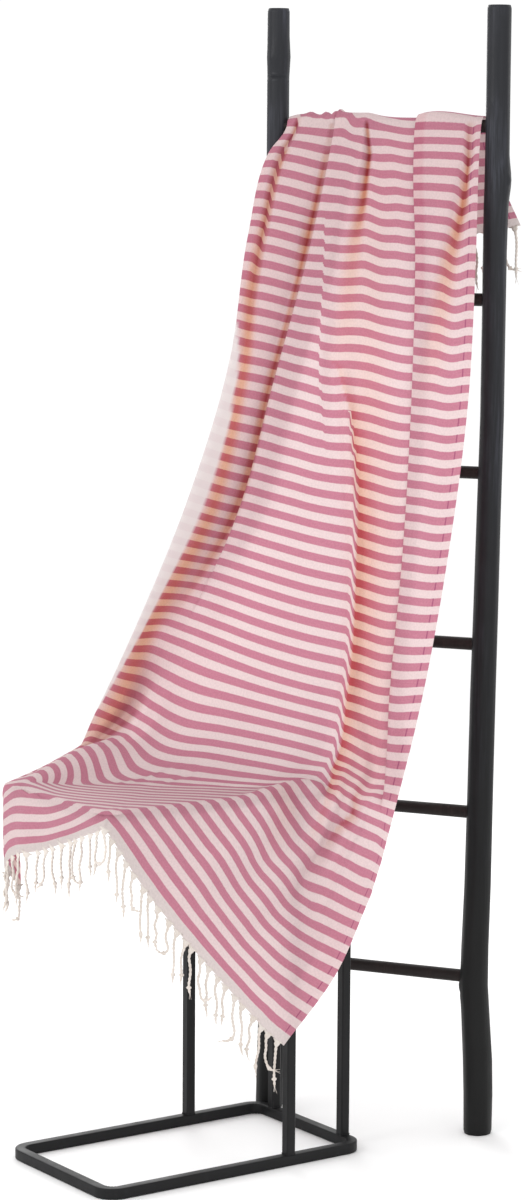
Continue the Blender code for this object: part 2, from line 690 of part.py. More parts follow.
def clear_of_table(point):
    """Moves a point of the cloth off the table, up or outwards, whichever is nearer."""
    edge, out, distance = outline_edge(point[0], point[1])
    hanging = point[2] < TABLE_HEIGHT + OVER_THE_EDGE["drop"][1] * MM
    sideways = (SIDE_CLEAR if hanging else TABLE_CLEAR) - distance
    upwards = TABLE_HEIGHT + TABLE_CLEAR - point[2]
    if sideways <= 0 or upwards <= 0:
        return point
    corner = math.hypot(max(distance, 0.0), max(point[2] - TABLE_HEIGHT, 0.0))
    if distance > 0 and point[2] > TABLE_HEIGHT:
        if corner >= TABLE_CLEAR:
            return point
        scale = TABLE_CLEAR / max(corner, 1e-6)
        moved = edge + out * distance * scale
        return np.array([moved[0], moved[1], TABLE_HEIGHT + (point[2] - TABLE_HEIGHT) * scale])
    if sideways < upwards:
        return point + out * sideways
    return np.array([point[0], point[1], TABLE_HEIGHT + TABLE_CLEAR])


def grid_normals(grid):
    """Outward direction at every point of the grid."""
    down = np.gradient(grid, axis=0)
    left = np.gradient(grid, axis=1)
    normals = np.cross(left, down)
    return normals / np.maximum(np.linalg.norm(normals, axis=2, keepdims=True), 1e-12)


def make_towel(mats):
    grid = towel_grid() + MIDDLE
    normals = grid_normals(grid)
    rows, columns = grid.shape[:2]
    verts = []
    for side in (0.5, -0.5):
        verts += list((grid + normals * CLOTH_THICK * side).reshape(-1, 3))
    total = rows * columns
    faces = []
    for i in range(rows - 1):
        for j in range(columns - 1):
            a = i * columns + j
            quad = (a, a + 1, a + columns + 1, a + columns)
            faces.append(quad)
            faces.append(tuple(q + total for q in reversed(quad)))
    rim = [(i * columns, (i + 1) * columns) for i in range(rows - 1)]
    rim += [((i + 1) * columns - 1, (i + 2) * columns - 1) for i in range(rows - 1)]
    rim += [(j, j + 1) for j in range(columns - 1)]
    rim += [(total - columns + j, total - columns + j + 1) for j in range(columns - 1)]
    for a, b in rim:
        faces.append((a, b, b + total, a + total))
    add_object("towel", verts, faces, mats["cloth"], smooth=True)
    return grid, normals


# ---------------------------------------------------------------- fringe

def walk(points, distance):
    """The point at a distance along a run of points, and the index of its stretch."""
    for i in range(len(points) - 1):
        step = np.linalg.norm(points[i + 1] - points[i])
        if distance <= step:
            return points[i] + (points[i + 1] - points[i]) * distance / step, i, distance / step
        distance -= step
    return points[-1], len(points) - 2, 1.0


def make_fringe(name, edge, away, normals, tassels, mat):
    """One comb: a narrow head along the cloth's end with a tassel at each step."""
    length = sum(np.linalg.norm(b - a) for a, b in zip(edge, edge[1:]))
    pitch = length / tassels
    marks = []
    for i in range(tassels):
        middle = (i + 0.5) * pitch
        marks += [(middle - TASSEL_WIDTH / 2, True), (middle + TASSEL_WIDTH / 2, False)]
    reached = 0.0
    for a, b in zip(edge[1:-1], edge):
        reached += np.linalg.norm(a - b)
        if all(abs(reached - mark) > TASSEL_WIDTH for mark, _ in marks):
            marks.append((reached, False))
    marks = [(FRINGE_INSET, False)] + sorted(marks) + [(length - FRINGE_INSET, None)]
    head = []
    for distance, _ in marks:
        point, i, t = walk(edge, distance)
        out = unit(away[i] * (1 - t) + away[i + 1] * t)
        normal = unit(normals[i] * (1 - t) + normals[i + 1] * t)
        top = point + out * FRINGE_GAP
        low = point + out * (FRINGE_GAP + FRINGE_HEAD)
        side = normal * FRINGE_THICK / 2
        head.append((top + side, top - side, low + side, low - side, side))
    verts = [corner for part in head for corner in part[:4]]
    faces = [(0, 1, 3, 2)]
    last = 4 * (len(head) - 1)
    faces.append((last, last + 2, last + 3, last + 1))
    number = 0
    for i, (_, tooth) in enumerate(marks[:-1]):
        a, b = 4 * i, 4 * (i + 1)
        faces += [(a, b, b + 2, a + 2), (a + 1, a + 3, b + 3, b + 1), (a, a + 1, b + 1, b)]
        if not tooth:
            faces.append((a + 2, b + 2, b + 3, a + 3))
            continue
        reach = TASSEL_LENGTHS[number % len(TASSEL_LENGTHS)]
        sway = 0.006 * math.sin(2.3 * number) * unit(head[i + 1][2] - head[i][2])
        ring = [a + 2, b + 2, b + 3, a + 3]
        top = [np.array(verts[v]) for v in ring]
        centre = sum(top) / 4
        flat = [t - centre for t in top]
        for share, scale in ((0.5, 1.0), (1.0, 0.8)):
            drop = np.array([0.0, 0.0, -reach * share]) + sway * share
            level = []
            for t in flat:
                spread = np.array([t[0], t[1], t[2] * (1 - share)]) * scale
                verts.append(centre + spread + drop)
                level.append(len(verts) - 1)
            for j in range(4):
                k = (j + 1) % 4
                faces.append((ring[j], ring[k], level[k], level[j]))
            ring = level
        faces.append(tuple(ring))
        number += 1
    add_object(name, verts, faces, mat)


def make_fringes(grid, normals, mat):
    front_away = [unit(a - b) for a, b in zip(grid[-1], grid[-2])]
    make_fringe("fringe_front", list(grid[-1]), front_away, normals[-1], FRONT_TASSELS, mat)
    rear_away = [unit(a - b) for a, b in zip(grid[0], grid[1])]
    make_fringe("fringe_rear", list(grid[0]), rear_away, normals[0], REAR_TASSELS, mat)


def main():
    clear_scene()
    mats = {
        "cloth": material("woven_cotton", COLOURS["cloth"], 0.85),
        "fringe": material("cotton_fringe", COLOURS["fringe"], 0.9),
        "pole": material("black_stained_wood", COLOURS["pole"], 0.55),
        "rung": material("black_rung_wood", COLOURS["rung"], 0.6),
        "tube": material("black_powder_coat", COLOURS["tube"], 0.45, 0.2),
        "panel": material("black_panel", COLOURS["panel"], 0.5, 0.2),
    }
    make_ladder(mats)
    make_table(mats)
    grid, normals = make_towel(mats)
    make_fringes(grid, normals, mats["fringe"])


main()
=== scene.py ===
"""Looks of a hammam towel that hangs over the top rung of a pole ladder and lies on a side table.

Metres, +Z up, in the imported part's frame: X runs along the rungs to the right, the towel is seen
from -Y. Tables of cloth points are in millimetres from the ladder's middle on the floor.
"""

import json
import math

import bmesh
import bpy
import numpy as np
from mathutils import Matrix, Vector

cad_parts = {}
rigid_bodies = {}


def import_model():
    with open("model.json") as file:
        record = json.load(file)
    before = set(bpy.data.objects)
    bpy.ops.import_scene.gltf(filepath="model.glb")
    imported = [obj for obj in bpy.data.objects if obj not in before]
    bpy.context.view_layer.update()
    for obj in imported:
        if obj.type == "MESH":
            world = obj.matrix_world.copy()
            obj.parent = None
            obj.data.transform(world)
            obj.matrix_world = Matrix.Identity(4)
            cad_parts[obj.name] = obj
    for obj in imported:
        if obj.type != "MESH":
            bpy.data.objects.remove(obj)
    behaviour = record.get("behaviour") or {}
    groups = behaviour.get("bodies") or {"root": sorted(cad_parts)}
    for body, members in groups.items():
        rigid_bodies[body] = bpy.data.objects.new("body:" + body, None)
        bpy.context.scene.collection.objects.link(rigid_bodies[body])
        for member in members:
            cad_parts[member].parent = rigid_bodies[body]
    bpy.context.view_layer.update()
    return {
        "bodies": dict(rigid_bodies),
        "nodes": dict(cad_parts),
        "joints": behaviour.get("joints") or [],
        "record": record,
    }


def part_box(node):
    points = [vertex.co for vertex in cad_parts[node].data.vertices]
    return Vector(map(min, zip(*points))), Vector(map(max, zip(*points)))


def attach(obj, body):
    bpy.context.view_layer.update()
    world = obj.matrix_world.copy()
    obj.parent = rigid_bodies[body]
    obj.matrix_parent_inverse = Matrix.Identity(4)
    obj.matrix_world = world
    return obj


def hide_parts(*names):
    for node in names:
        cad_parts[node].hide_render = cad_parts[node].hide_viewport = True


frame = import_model()

MM = 0.001
POLE_GAP = 0.408
MIDDLE = np.array([-POLE_GAP / 2, 0.0, 0.0])
BODY = "root"

# ---------------------------------------------------------------- camera and light
CAMERA_PLACE = (1.952, -5.503, 1.695)
CAMERA_TURN = 0.4082            # radians to the left of +Y
CAMERA_DOWN = 0.125
CAMERA_ROLL = 0.0066
CAMERA_LENS = 99.87
CAMERA_SENSOR = 36.0
WORLD_LIGHT = 1.04
FLOOR_REACH = 9.0
FLOOR_BELOW = 0.0005
# name: place, target, width, height, watts
LIGHTS = {
    "key_softbox": ((-1.9, -3.4, 3.1), (-0.2, 0.0, 1.0), 1.8, 2.2, 46.0),
    "fill_softbox": ((2.6, -2.6, 1.8), (-0.2, -0.1, 0.9), 1.6, 2.4, 8.0),
    "back_softbox": ((-2.2, 2.3, 2.2), (-0.3, -0.1, 1.0), 1.4, 2.2, 34.0),
}

# ---------------------------------------------------------------- ladder sizes
POLE_SIDES = 40
POLE_RING = 0.008               # spacing of the rings up a pole
OVAL = (0.018, 3.1)             # how far a log is from round, and how that turns up its height
THREE_SIDED = (0.012, -5.0)
FLUTES = (9, 0.00022)           # shallow grooves up a log: how many, and how deep
KNOT_STRETCH = 0.75             # knots are longer up the log than round it
KNOT_RIM = (0.55, 0.18, 0.45)   # place, width and depth of the dip round a knot
TOP_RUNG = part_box("rung_1")
RUNG_HEIGHT = float((TOP_RUNG[0][2] + TOP_RUNG[1][2]) / 2)
RUNG_RADIUS = float((TOP_RUNG[1][2] - TOP_RUNG[0][2]) / 2)
RUNGS = ("rung_1", "rung_2", "rung_3", "rung_4", "rung_5", "rung_6")
RUNG_STEPS = 56
RUNG_SIDES = 28
RUNG_UNEVEN = 0.015
# height, radius, sideways and forward drift of the log's centre, in millimetres
RIGHT_POLE = (
    (0, 23.5, 0, 0), (6, 25, 0, 0), (70, 25.8, 0, 0), (133, 26, -2, 1), (205, 25.2, -6, 0),
    (271, 24.5, -10, 0), (340, 24, -9, -1), (450, 23.4, -6, 0), (625, 22.8, -4, 1),
    (800, 22.6, -2, 1), (950, 22.2, 1, 0), (1120, 21.6, 4, -1), (1290, 21.3, 7, 0),
    (1580, 21.2, 8, 0), (1650, 21.8, 9, 0), (1700, 23, 11, 1), (1745, 21.4, 10, 0),
    (1838, 21, 10, 0), (1994, 20.7, 10, 0), (2000, 19, 10, 0),
)
LEFT_POLE = (
    (0, 23, 0, 0), (6, 24.5, 0, 0), (90, 25, 2, 0), (220, 24, 4, 1), (420, 23, 3, 0),
    (700, 22.2, 0, -1), (1000, 21.5, -1, 0), (1300, 20.9, 1, 1), (1560, 20.4, 3, 0),
    (1760, 19.8, 4, 0), (1880, 19.6, 4, 0), (1915, 20.6, 5, 0), (1950, 19.6, 4, 0),
    (1994, 19.2, 4, 0), (2000, 17.6, 4, 0),
)
# height, direction in degrees (270 faces the front), radius of the knot, how far it stands out;
# in millimetres otherwise
RIGHT_KNOTS = (
    (1832, 262, 11, 2), (1700, 350, 17, 2.6), (1618, 300, 9, -1.2), (1335, 250, 10, 1.5),
    (1050, 320, 13, 1.8), (742, 240, 11, -1.4), (520, 300, 14, 1.8), (268, 200, 17, 2.6),
    (135, 310, 15, 2),
)
LEFT_KNOTS = (
    (1915, 250, 12, 2.2), (1560, 280, 10, 1.4), (1180, 300, 12, 1.6), (830, 260, 11, -1.2),
    (410, 290, 14, 1.8), (110, 270, 12, 1.6),
)

# ---------------------------------------------------------------- table sizes
TABLE_LENGTH = 0.540
TABLE_WIDTH = 0.325
TABLE_HEIGHT = float(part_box("top_panel")[1][2])
TABLE_TURN = math.radians(58.3)
TABLE_CORNER = np.array([-0.219, -0.653, 0.0])  # front left, from the ladder's middle
CORNER_RADIUS = 0.038
CORNER_STEPS = 20
TUBE = 0.0190
TUBE_ROUND = 0.0024
TUBE_CREASE = 0.00035           # how far the inner wall of a tube's bend is pushed in
SHARP_EDGE = math.radians(40)
WELD_STEPS = 96
WELD_SIDES = 6
WELD_SWELL = 0.0011
WELD_BEAD = (0.0003, 0.0032)    # height and spacing of its ripples
LONG_WAY = np.array([math.cos(TABLE_TURN), math.sin(TABLE_TURN), 0.0])
SHORT_WAY = np.array([-math.sin(TABLE_TURN), math.cos(TABLE_TURN), 0.0])
UPRIGHTS = ("upright_back", "upright_front", "upright_end_front", "upright_end_back")

# ---------------------------------------------------------------- towel sizes
TOWEL_FLAT = (0.95, 1.88)
STRIPE_PERIOD = 0.0286          # one pink and one cream stripe
FIRST_STRIPE = -7.88            # stripe numbers at the rear and front hems
LAST_STRIPE = 57.88
MARK_INSET = 0.0125             # darker threads beside each selvedge
MARK_WIDTH = 0.0022
LAYER = 0.0032
RUNG_CLEAR = 0.0034
BEND_STEPS = 5
BEND_OPEN = 0.0038
BAND_SHIFT = 0.004              # how far the band starts left of the pleat that it lies under
CORNER_SHARE = 0.34             # where two lines run between the crease and the pleat
VALLEY_SHARE = 0.67
ROW_SPACING = 0.0054
COLUMN_SPACING = 0.0050

STATIONS = ("rear_hem", "rear_mid", "rear_top", "over_1", "over_2", "rung_top", "over_3", "over_4",
            "front_top", "neck", "high", "upper", "middle", "low", "knee", "foot", "lift",
            "brink", "roll", "drop", "flap", "hem")
RUNG_ANGLES = {"rear_top": 0, "over_1": 30, "over_2": 60, "rung_top": 90, "over_3": 118,
               "over_4": 146, "front_top": 172}
# x over the rung, x at the two rear stations, lift over the lowest layer, stripe number on top
OVER_RUNG = {
    "right_edge": (190, 211, 244, 2.8, 0.05),
    "tuck": (70, 86, 104, 6.6, 0.10),
    "ridge": (-3, 2, 8, 4.0, 0.15),
    "crease": (-25, -28, -30, 8.8, 0.30),
    "pleat": (-80, -88, -97, 9.8, 0.75),
    "left_fold": (-174, -183, -190, 3.3, 0.90),
}
# how far behind the ladder each rear station hangs, its height at the right edge, and its share
# of the slope of the rear hem, which hangs lower at the left; in metres
REAR = {"rear_mid": (0.031, 1.700, 0.45), "rear_hem": (0.040, 1.622, 1.0)}
REAR_DROP = 0.080
FRONT_STATIONS = STATIONS[STATIONS.index("neck"):]
LINES = {
    "right_edge": (
        (193, -34, 1740), (199, -60, 1567), (206, -110, 1316), (195, -165, 1068), (170, -220, 818),
        (139, -250, 646), (130, -262, 595), (120, -275, 539), (109, -284, 494), (107, -286, 485),
        (104, -289, 475), (58, -318, 350), (-26, -352, 218),
    ),
    "tuck": (
        (74, -37, 1741), (94, -75, 1569), (109, -125, 1317), (116, -175, 1070), (115, -225, 823),
        (119, -255, 656), (114, -264, 613), (104, -272, 578), (90, -280, 544), (87, -282, 535),
        (83, -284, 526), (18, -304, 385), (-50, -391, 258),
    ),
    "ridge": (
        (-2, -36, 1746), (-1, -85, 1585), (13, -140, 1327), (32, -190, 1073), (34, -230, 815),
        (20, -246, 708), (14, -262, 680), (14, -275, 668), (17, -280, 664), (19, -283, 660),
        (20, -286, 653), (0, -327, 512), (-81, -441, 322),
    ),
    "crease": (
        (-25, -42, 1750), (-38, -93, 1592), (-52, -160, 1334), (-49, -203, 1086), (-47, -260, 836),
        (-57, -303, 694), (-72, -320, 674), (-86, -333, 664), None, None, None, (-118, -508, 570),
        (-162, -573, 492),
    ),
    "corner_way": (
        None, None, None, None, (-149, -270, 864), (-188, -320, 706), (-211, -356, 677),
        (-234, -393, 664), None, None, None, (-219, -653, 648), (-217, -663, 637),
    ),
    "valley": (
        None, None, None, None, (-202, -275, 884), (-272, -322, 712), (-322, -386, 676),
        (-392, -455, 664), None, None, None, (-370, -568, 612), (-382, -560, 569),
    ),
    "pleat": (
        (-79, -46, 1751), (-91, -100, 1594), (-127, -175, 1356), (-168, -235, 1117),
        (-253, -288, 901), (-344, -292, 740), (-405, -395, 709), (-464, -491, 669), None, None,
        None, (-481, -501, 600), (-484, -498, 529),
    ),
    "band": (
        None, None, None, None, (-293, -292, 912), (-370, -312, 757), (-441, -386, 697),
        (-493, -485, 664), (-495, -485, 658), (-494, -487, 649), (-496, -486, 643),
        (-499, -485, 585), (-496, -486, 516),
    ),
    "left_fold": (
        (-192, -56, 1747), (-202, -122, 1601), (-205, -190, 1391), (-248, -270, 1146),
        (-326, -314, 925), (-402, -318, 770), (-447, -368, 660), (-500, -469, 622),
        (-502, -467, 607), (-502, -467, 602), (-503, -466, 597), (-502, -466, 553),
        (-497, -469, 500),
    ),
    "left_edge": (
        None, None, None, None, None, (-372, -290, 722), (-432, -346, 600), (-486, -447, 565),
        (-487, -446, 557), (-487, -446, 552), (-488, -446, 547), (-487, -446, 515),
        (-484, -448, 470),
    ),
}
# stripe number at the front stations before the hem
STRIPES = {
    "right_edge": (3, 9, 18, 27, 36, 42, 44, 46, 47.6, 48.0, 48.3, 52.9),
    "tuck": (3.05, 9.35, 18.1, 26.95, 35.7, 41.8, 43.6, 45.1, 46.3, 46.6, 46.9, 52.1),
    "ridge": (2.9, 8.9, 17.85, 26.75, 35.95, 40.1, 42.1, 43.1, 43.6, 43.8, 44.1, 48.7),
    "crease": (2.70, 8.6, 17.75, 26.8, 35.9, 41.9, 43.4, 44.9, 49.2, 49.5, 49.9, 54.0),
    "corner_way": (2.90, 8.6, 17.75, 26.8, 35.85, 42.1, 43.9, 45.9, 56.5, 56.8, 57.1, 57.4),
    "valley": (3.0, 8.55, 17.7, 26.8, 35.8, 42.1, 45.0, 48.6, 53.8, 54.1, 54.4, 56.1),
    "pleat": (3.05, 8.55, 17.7, 26.8, 35.9, 42.0, 46.8, 52.1, 52.8, 53.1, 53.5, 55.6),
    "band": (3.05, 8.6, 17.55, 26.5, 35.9, 42.0, 46.8, 51.9, 52.6, 53.0, 53.5, 55.8),
    "left_fold": (3.65, 9.05, 16.9, 26.2, 35.4, 42.0, 46.5, 51.9, 52.7, 53.1, 53.6, 55.9),
}
# Where the stripes jump at a crease: row -> (place between the lines, width of the jump between
# them, stripe numbers it adds on its left). A row is a station, or a station and a share of the
# way to the next one.
STRIPE_JUMPS = {
    "edge_pleat": {
        "over_2": (7.72, 0.04, 0.0), "over_4": (7.78, 0.04, 0.5), "neck": (7.77, 0.04, 0.5),
        "high": (7.79, 0.04, 0.5), ("high", 0.4): (7.81, 0.04, 0.0),
    },
    "inner_step": {
        ("neck", 0.7): (5.2, 0.04, 0.0), ("neck", 0.9): (4.95, 0.04, 0.3),
        ("high", 0.3): (3.98, 0.04, 0.3), ("high", 0.6): (3.48, 0.04, 0.3),
        "upper": (2.92, 0.04, 0.25), ("upper", 0.5): (2.68, 0.04, 0.0),
    },
}
# The stripes dive by one whole stripe number along the main fold, so its first row doesn't show.
STRIPE_DIVE = {
    "main_fold": {
        ("upper", 0.1): (2.17, 0.04, 1.0), ("upper", 0.5): (2.01, 0.05, 1.0),
        "middle": (2.02, 0.12, 1.0), "low": (2.03, 0.15, 1.0), "knee": (2.03, 0.16, 1.0),
        "foot": (2.03, 0.3, 0.8), "lift": (2.03, 0.5, 0.5), "drop": (2.1, 1.0, 0.0),
    },
}
# Where the stripes sag in a hollow: row -> (place, half width in millimetres, stripe numbers).
STRIPE_SAGS = {
    "right_pleat": {
        "rung_top": (0.13, 14, 0.0), "neck": (0.15, 15, -0.30), "high": (0.32, 26, -0.38),
        "upper": (0.35, 34, -0.16), "middle": (0.25, 45, -0.20), "low": (0.20, 40, 0.0),
    },
    "middle_pleat": {
        "front_top": (2.3, 30, 0.0), ("neck", 0.5): (1.7, 34, -0.28),
        ("high", 0.3): (1.66, 34, -0.16), ("high", 0.7): (1.6, 34, 0.0),
    },
}
CROSSINGS = {"crease": (-88, -441), "corner_way": (-223, -638), "valley": (-357, -568),
             "pleat": (-472, -498)}
# outwards from the table's edge and up from its top, in millimetres
OVER_THE_EDGE = {"brink": (-2.6, 3.2), "roll": (1.8, 1.6), "drop": (3.6, -3.0)}
TABLE_CLEAR = 0.0034
NEAR_TABLE = 0.02               # how far above the table's top cloth is kept clear of it
CORNER_EASE = 0.0065
# washed cotton's unevenness: how much of it shows at the rows
RIPPLE_SHARE = {("front_top", 0.5): 0, ("neck", 0.5): 1, "knee": 1, "foot": 0.3,
                ("drop", 0.5): 0.3, ("flap", 0.5): 1}

TURNED_COLUMNS = ("tuck", "tuck_gap", "tuck_open", "pleat", "pleat_gap", "pleat_open", "margin",
                  "tuck_shift")
# widths turned under at the tuck and the pleat, spacing of their layers, 1 where they have
# opened, width of the left margin, and how many stripes the cloth slips at the tuck
TURNED = {
    "rung": (24, 3.2, 0, 50, 3.2, 0, 148, -0.30),
    "neck": (24, 3.2, 0, 50, 3.2, 0, 148, -0.30),
    "high": (22, 3.2, 0, 48, 3.2, 0, 136, -0.37),
    "upper": (20, 3.2, 0, 40, 4.0, 0, 122, -0.53),
    "middle": (18, 3.2, 0, 27, 10.5, 0, 108, -0.60),
    "low": (16, 6.0, 0, 0, 0, 1, 84, -0.55),
    "knee": (6, 10.0, 0, 0, 0, 1, 0, -0.20),
    "spread": (0, 0, 1, 0, 0, 1, 0, 0.0),
}
TUCK_OPEN_SHARE = 0.24
LINE_PLACE = {"right_edge": 0, "tuck": 1, "ridge": 2, "crease": 3, "corner_way": 4, "valley": 5,
              "pleat": 6, "band": 7, "left_fold": 8, "left_edge": 9}

# Soft folds: row -> (place between the lines, half width and height in millimetres).
SOFT_FOLDS = {
    "right_pleat": {
        "over_4": (0.16, 8, 0), "front_top": (0.16, 8, -3), "neck": (0.17, 12, -10),
        "high": (0.45, 24, -12), "upper": (0.80, 32, 0),
    },
    "middle_pleat": {
        "over_4": (2.9, 7, 0), "front_top": (2.85, 7, -3), "neck": (2.41, 10, -9),
        "high": (2.42, 22, -8), "upper": (2.60, 36, 0),
    },
    "edge_pleat": {
        "over_4": (7.76, 7, 0), "front_top": (7.80, 8, -4), "neck": (7.77, 11, -10),
        "high": (7.79, 13, -9), "upper": (7.74, 22, -5), "middle": (7.70, 28, 0),
    },
    "beside_pleat": {
        "front_top": (7.06, 8, 0), "neck": (7.06, 10, -4), "high": (7.10, 17, -8),
        "upper": (7.09, 13, -4), "middle": (7.14, 18, -6), "low": (7.1, 24, 0),
    },
    "band_swell": {
        "front_top": (7.4, 34, 0), "neck": (7.4, 34, 3), "high": (7.45, 34, 5),
        "upper": (7.45, 30, 4), "low": (7.5, 30, 0),
    },
    "crease_hollow": {
        "neck": (3.4, 14, 0), "high": (3.0, 22, -6), "upper": (2.62, 26, -7),
        "middle": (2.5, 34, 0),
    },
    "twist_on_rung": {
        "rear_top": (6.9, 20, 0), "over_2": (6.98, 16, 6), "rung_top": (7.03, 13, 10),
        "over_4": (7.05, 13, 5), "front_top": (7.05, 16, 0),
    },
    "twist_loop": {
        "over_1": (7.22, 12, 0), "rung_top": (7.24, 11, 7), "over_3": (7.26, 11, 5),
        "front_top": (7.28, 12, 0),
    },
    "rung_wave_left": {
        "over_1": (7.55, 16, 0), "rung_top": (7.57, 14, 4), "front_top": (7.58, 16, 0),
    },
    "soft_ridge": {
        ("high", 0.5): (3.0, 18, 0), "upper": (2.28, 20, 6), "middle": (2.04, 23, 10),
        "low": (2.0, 26, 12), "knee": (2.0, 24, 8), "lift": (2.0, 24, 0),
    },
    "ridge_hollow": {
        "high": (2.1, 24, 0), "upper": (1.98, 26, -5), "middle": (1.76, 26, -8),
        "low": (1.64, 30, -9), "knee": (1.32, 22, -10), "lift": (1.20, 20, -11),
        "drop": (1.42, 22, -11), "flap": (1.9, 34, -8), "hem": (2.3, 44, 0),
    },
    "wave_ridge": {
        "low": (1.86, 20, 0), "knee": (1.74, 18, 4), "lift": (1.66, 18, 7), "drop": (1.74, 22, 9),
        "flap": (2.2, 44, 8), "hem": (2.6, 60, 0),
    },
    "wave_hollow": {
        "low": (2.0, 18, 0), "knee": (1.92, 16, -4), "lift": (1.86, 16, -6), "drop": (1.95, 18, -5),
        "flap": (2.3, 40, 0),
    },
    "beside_tuck": {
        "knee": (1.10, 12, 0), "lift": (1.06, 12, 5), "drop": (1.08, 14, 6), "flap": (1.15, 18, 0),
    },
    "flap_swell": {
        "brink": (2.55, 60, 0), "drop": (2.55, 60, 2), "flap": (2.75, 90, 10), "hem": (2.7, 90, 4),
    },
    "pleat_hump": {
        "upper": (5.4, 40, 0), "middle": (5.6, 50, 6), "low": (5.6, 60, 9), "knee": (5.6, 50, 0),
    },
    "panel_wave": {"middle": (3.6, 50, 0), "low": (3.9, 60, -8), "knee": (4.1, 50, 0)},
    "crest": {
        "low": (5.96, 16, 0), "knee": (5.97, 15, 4), "foot": (5.97, 15, 5), "lift": (5.97, 15, 0),
    },
    "behind_crest": {
        "low": (6.5, 22, 0), "knee": (6.45, 24, -12), "foot": (6.4, 16, -7), "lift": (6.4, 14, 0),
    },
    "pinch": {("low", 0.6): (6.0, 14, 0), "knee": (6.1, 12, 5), ("knee", 0.3): (6.15, 10, 0)},
    "face_wrinkle_1": {("knee", 0.2): (4.35, 14, 0), "foot": (4.5, 13, 5), "lift": (4.65, 14, 0)},
    "face_wrinkle_2": {
        ("knee", 0.3): (3.95, 14, 0), ("foot", 0.1): (4.05, 13, -4), "lift": (4.15, 14, 0),
    },
    "left_flap_wave": {"brink": (5.5, 30, 0), "flap": (5.5, 34, 6), "hem": (5.5, 34, 8)},
    "left_flap_dip": {"brink": (4.6, 30, 0), "flap": (4.6, 34, -5), "hem": (4.6, 34, -6)},
}
# Painted light where light has passed through several layers, and below it painted shade in deep
# creases: row -> (place, half width in millimetres, strength).
PAINTED_TRANSMITTED_LIGHT_PLACES = {
    "left_band": {
        "neck": (7.72, 10, 0.7), "high": (7.80, 14, 0.8), ("high", 0.5): (7.82, 18, 1.0),
        "upper": (7.66, 19, 1.0), "middle": (7.52, 20, 1.0), "low": (7.50, 26, 1.0),
        "knee": (7.35, 34, 0.9), "foot": (7.3, 30, 0.0),
    },
    "beside_pleat": {
        "neck": (7.04, 7, 0.6), "high": (7.08, 13, 0.9), ("high", 0.5): (7.05, 7, 0.7),
        "upper": (7.07, 11, 0.8), "middle": (7.12, 15, 0.7), "low": (7.0, 22, 0.0),
    },
    "panel_glow": {
        "neck": (1.9, 50, 0.0), "upper": (1.8, 64, 0.25), "low": (1.55, 60, 0.15),
        "knee": (1.5, 50, 0.1), "lift": (1.5, 50, 0.0),
    },
    "middle_pleat": {
        "neck": (2.42, 8, 0.4), ("neck", 0.5): (2.33, 13, 0.9), "high": (2.46, 22, 0.5),
        "upper": (2.5, 40, 0.0),
    },
    "right_pleat": {
        "neck": (0.17, 8, 0.5), ("neck", 0.5): (0.25, 14, 1.0), "high": (0.44, 24, 0.7),
        "upper": (0.75, 40, 0.0),
    },
}
SHADE_PLACES = {
    "edge_pleat": {
        "over_3": (7.76, 6, 0.0), "front_top": (7.80, 8, 1.0), "neck": (7.77, 9, 1.0),
        "high": (7.79, 9, 0.7), "upper": (7.74, 12, 0.0),
    },
    "beside_pleat": {
        "front_top": (7.04, 5, 0.8), "neck": (7.03, 6, 0.9), "high": (7.07, 12, 0.9),
        ("high", 0.5): (7.03, 7, 0.8), "upper": (7.05, 10, 0.8), "middle": (7.10, 12, 0.8),
        "low": (7.0, 16, 0.0),
    },
    "middle_pleat": {
        "over_4": (2.9, 5, 0.0), "front_top": (2.85, 6, 1.0), "neck": (2.42, 7, 1.0),
        ("neck", 0.25): (2.38, 7, 1.0), ("neck", 0.6): (2.31, 11, 0.6), "high": (2.5, 14, 0.0),
    },
    "right_pleat": {
        "over_4": (0.16, 5, 0.0), "front_top": (0.16, 6, 1.0), "neck": (0.17, 9, 1.0),
        ("neck", 0.5): (0.23, 13, 0.9), "high": (0.42, 18, 0.2), ("high", 0.4): (0.6, 24, 0.0),
    },
    "flap_waves": {
        "knee": (1.30, 14, 0.0), "lift": (1.20, 14, 0.20), "drop": (1.40, 16, 0.20),
        "flap": (1.9, 24, 0.0),
    },
    "crest": {
        ("low", 0.6): (6.0, 9, 0.0), "knee": (6.0, 8, 0.35), "foot": (6.05, 8, 0.35),
        "lift": (6.0, 10, 0.0),
    },
    "under_edge": {
        "brink": (2.5, 50, 0.0), "drop": (2.5, 56, 0.18), ("drop", 0.3): (2.4, 50, 0.25),
        "flap": (2.4, 50, 0.0),
    },
    "behind_crest": {
        "low": (6.7, 24, 0.0), "knee": (6.5, 26, 0.4), "foot": (6.5, 18, 0.3),
        "lift": (6.5, 16, 0.0),
    },
}
# Painted shade, redder, right of a fold and strongest beside it: row -> (place, width in
# millimetres, strength).
PAINTED_FOLD_SHADE_PLACES = {
    "beside_ridge": {
        ("high", 0.7): (3.27, 20, 0.0), ("high", 0.82): (2.56, 24, 0.4),
        ("upper", 0.1): (2.16, 30, 0.7), ("upper", 0.5): (2.0, 38, 1.0), "middle": (1.98, 44, 1.0),
        "low": (2.0, 44, 0.9), "knee": (1.98, 40, 0.8), "lift": (1.90, 30, 0.7),
        "drop": (1.95, 24, 0.4), "flap": (2.2, 24, 0.0),
    },
    "panel": {
        "upper": (2.2, 130, 0.1), "middle": (1.98, 130, 0.35), "knee": (1.98, 130, 0.35),
        "lift": (1.90, 90, 0.3), "flap": (2.2, 70, 0.0),
    },
    "second_wave": {
        "knee": (1.45, 16, 0.0), "foot": (1.36, 18, 0.6), "lift": (1.30, 18, 0.9),
        "drop": (1.45, 20, 0.7), ("drop", 0.5): (1.7, 20, 0.0),
    },
}
